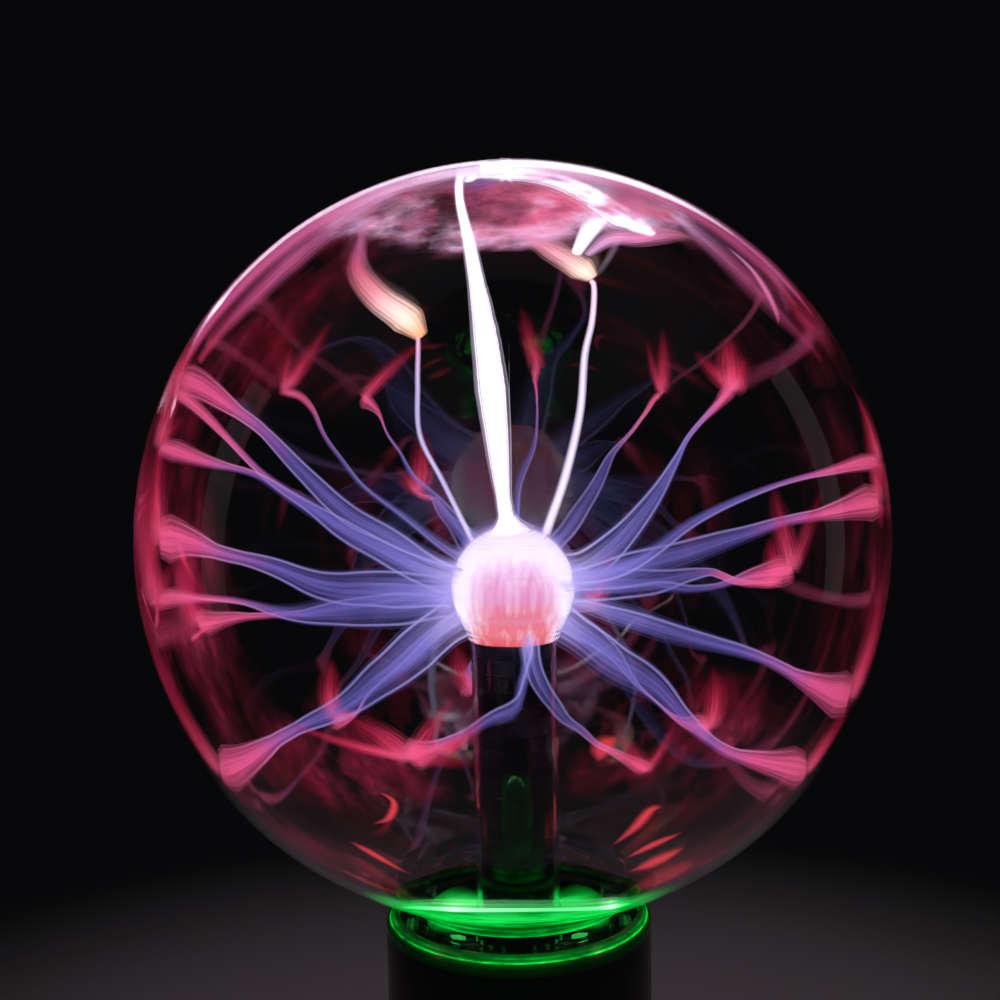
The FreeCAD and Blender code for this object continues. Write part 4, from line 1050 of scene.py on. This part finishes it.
neck = Glow()
for rows in (neck_disc(), neck_front(), foot_painted_shade()):
    neck.grid(rows)
neck.piece("neck_glow", glow_look("neck_glow_look", neck_colour, neck_opacity))

# The bright line across the foot of the globe, on the outside of its front.
STRAND_HEAT = [(0.0, 0.2), (0.08, 0.6), (0.22, 0.75), (0.29, 1.0), (0.36, 0.8), (0.6, 0.65), (0.8, 0.7),
               (0.9, 1.0), (0.95, 0.6), (1.0, 0.2)]
STRAND_STOPS = [(-119, -55), (-111.3, -53.1), (-106.2, -52.4), (-98.2, -51.8), (-89.9, -51.6), (-81, -52.2),
                (-73.9, -53.2), (-69.3, -53.8), (-63, -54.2)]


def strand_heat(s):
    return keyed(STRAND_HEAT, s)


def strand_colour(t):
    return t.ramp(t.attribute("heat_and_shade"), [
        (0.0, (0.0, 0.6, 0.04)), (0.6, (0.10, 1.5, 0.32)), (1.0, (0.8, 2.2, 1.0)),
    ])


strand = Glow()
strand.flame(catmull([GLOBE_C + direction(*stop) * (GLOBE_R + 0.0004) for stop in STRAND_STOPS], 60),
             lambda s: 0.0009 * strand_heat(s) + 0.0002, 0.5, lambda s: 1.4 * strand_heat(s),
             flat=0.5, heat=strand_heat, free=True)
strand.piece("neck_strand", glow_look("neck_strand_look", strand_colour, neck_opacity))


# ---------------------------------------------------------------- floor and studio light

FLOOR_R = 0.335
FLOOR_FADE = (0.13, 0.33)   # the floor is whole inside the first distance and gone at the second
FLOOR_WAYS = 96


def floor_look():
    t = Tree("floor_look")
    place = t.place()
    colour = t.ramp(t.noise(place, 3.0, 4.0), [(0.3, (0.60, 0.60, 0.61)), (0.7, (0.66, 0.66, 0.67))])
    shader = t.node("ShaderNodeBsdfPrincipled", Roughness=0.6)
    t.link(colour, shader.inputs["Base Color"])
    t.link(t.bump(t.noise(place, 300.0), 0.0001), shader.inputs["Normal"])
    # The floor fades out with distance from the middle: a painted pool of light, whole near the globe and gone at
    # the rim.
    away = t.node("ShaderNodeVectorMath", Vector=place, operation="LENGTH").outputs["Value"]
    near = t.between(away, *FLOOR_FADE, interpolation_type="SMOOTHSTEP")
    near.inputs["To Min"].default_value = 1.0
    near.inputs["To Max"].default_value = 0.0
    return t.surface(t.mix(near.outputs[0], t.node("ShaderNodeBsdfTransparent"), shader))


def floor_disc():
    mesh = bpy.data.meshes.new("floor")
    n = FLOOR_WAYS
    shares = [0.2, 0.4, 0.7, 1.0]
    verts = [(0, 0, 0)]
    for share in shares:
        verts += [tuple(circle(FLOOR_R * share, 2 * math.pi * j / n, 0)) for j in range(n)]
    faces = [(0, 1 + j, 1 + (j + 1) % n) for j in range(n)]
    for i in range(len(shares) - 1):
        a = 1 + i * n
        faces += [(a + j, a + n + j, a + n + (j + 1) % n, a + (j + 1) % n) for j in range(n)]
    mesh.from_pydata(verts, [], faces)
    floor = bpy.data.objects.new("floor", mesh)
    scene.collection.objects.link(floor)
    floor.data.materials.append(floor_look())


floor_disc()

LAMPS_AIM = Vector((0, 0, 0.08))


def softbox(name, place, size, power, colour, mirrored=True):
    """A soft lamp aimed at the base. It never shows through the glass; one that isn't mirrored
    doesn't show in any gloss either."""
    data = bpy.data.lights.new(name, "AREA")
    data.shape = "RECTANGLE"
    data.size, data.size_y = size
    data.energy = power
    data.color = colour
    lamp = bpy.data.objects.new(name, data)
    scene.collection.objects.link(lamp)
    lamp.location = place
    lamp.visible_glossy = mirrored
    lamp.visible_transmission = False
    lamp.rotation_euler = (LAMPS_AIM - Vector(place)).to_track_quat("-Z", "Y").to_euler()


softbox("soft_top", (0.1, 0.05, 0.85), (0.9, 0.9), 0.36, (1.0, 0.98, 0.95), mirrored=False)
softbox("soft_left", (-0.8, -0.05, 0.30), (0.14, 0.7), 0.045, (0.95, 0.97, 1.0))
softbox("soft_right", (0.85, 0.1, 0.30), (0.14, 0.7), 0.045, (0.95, 0.97, 1.0))
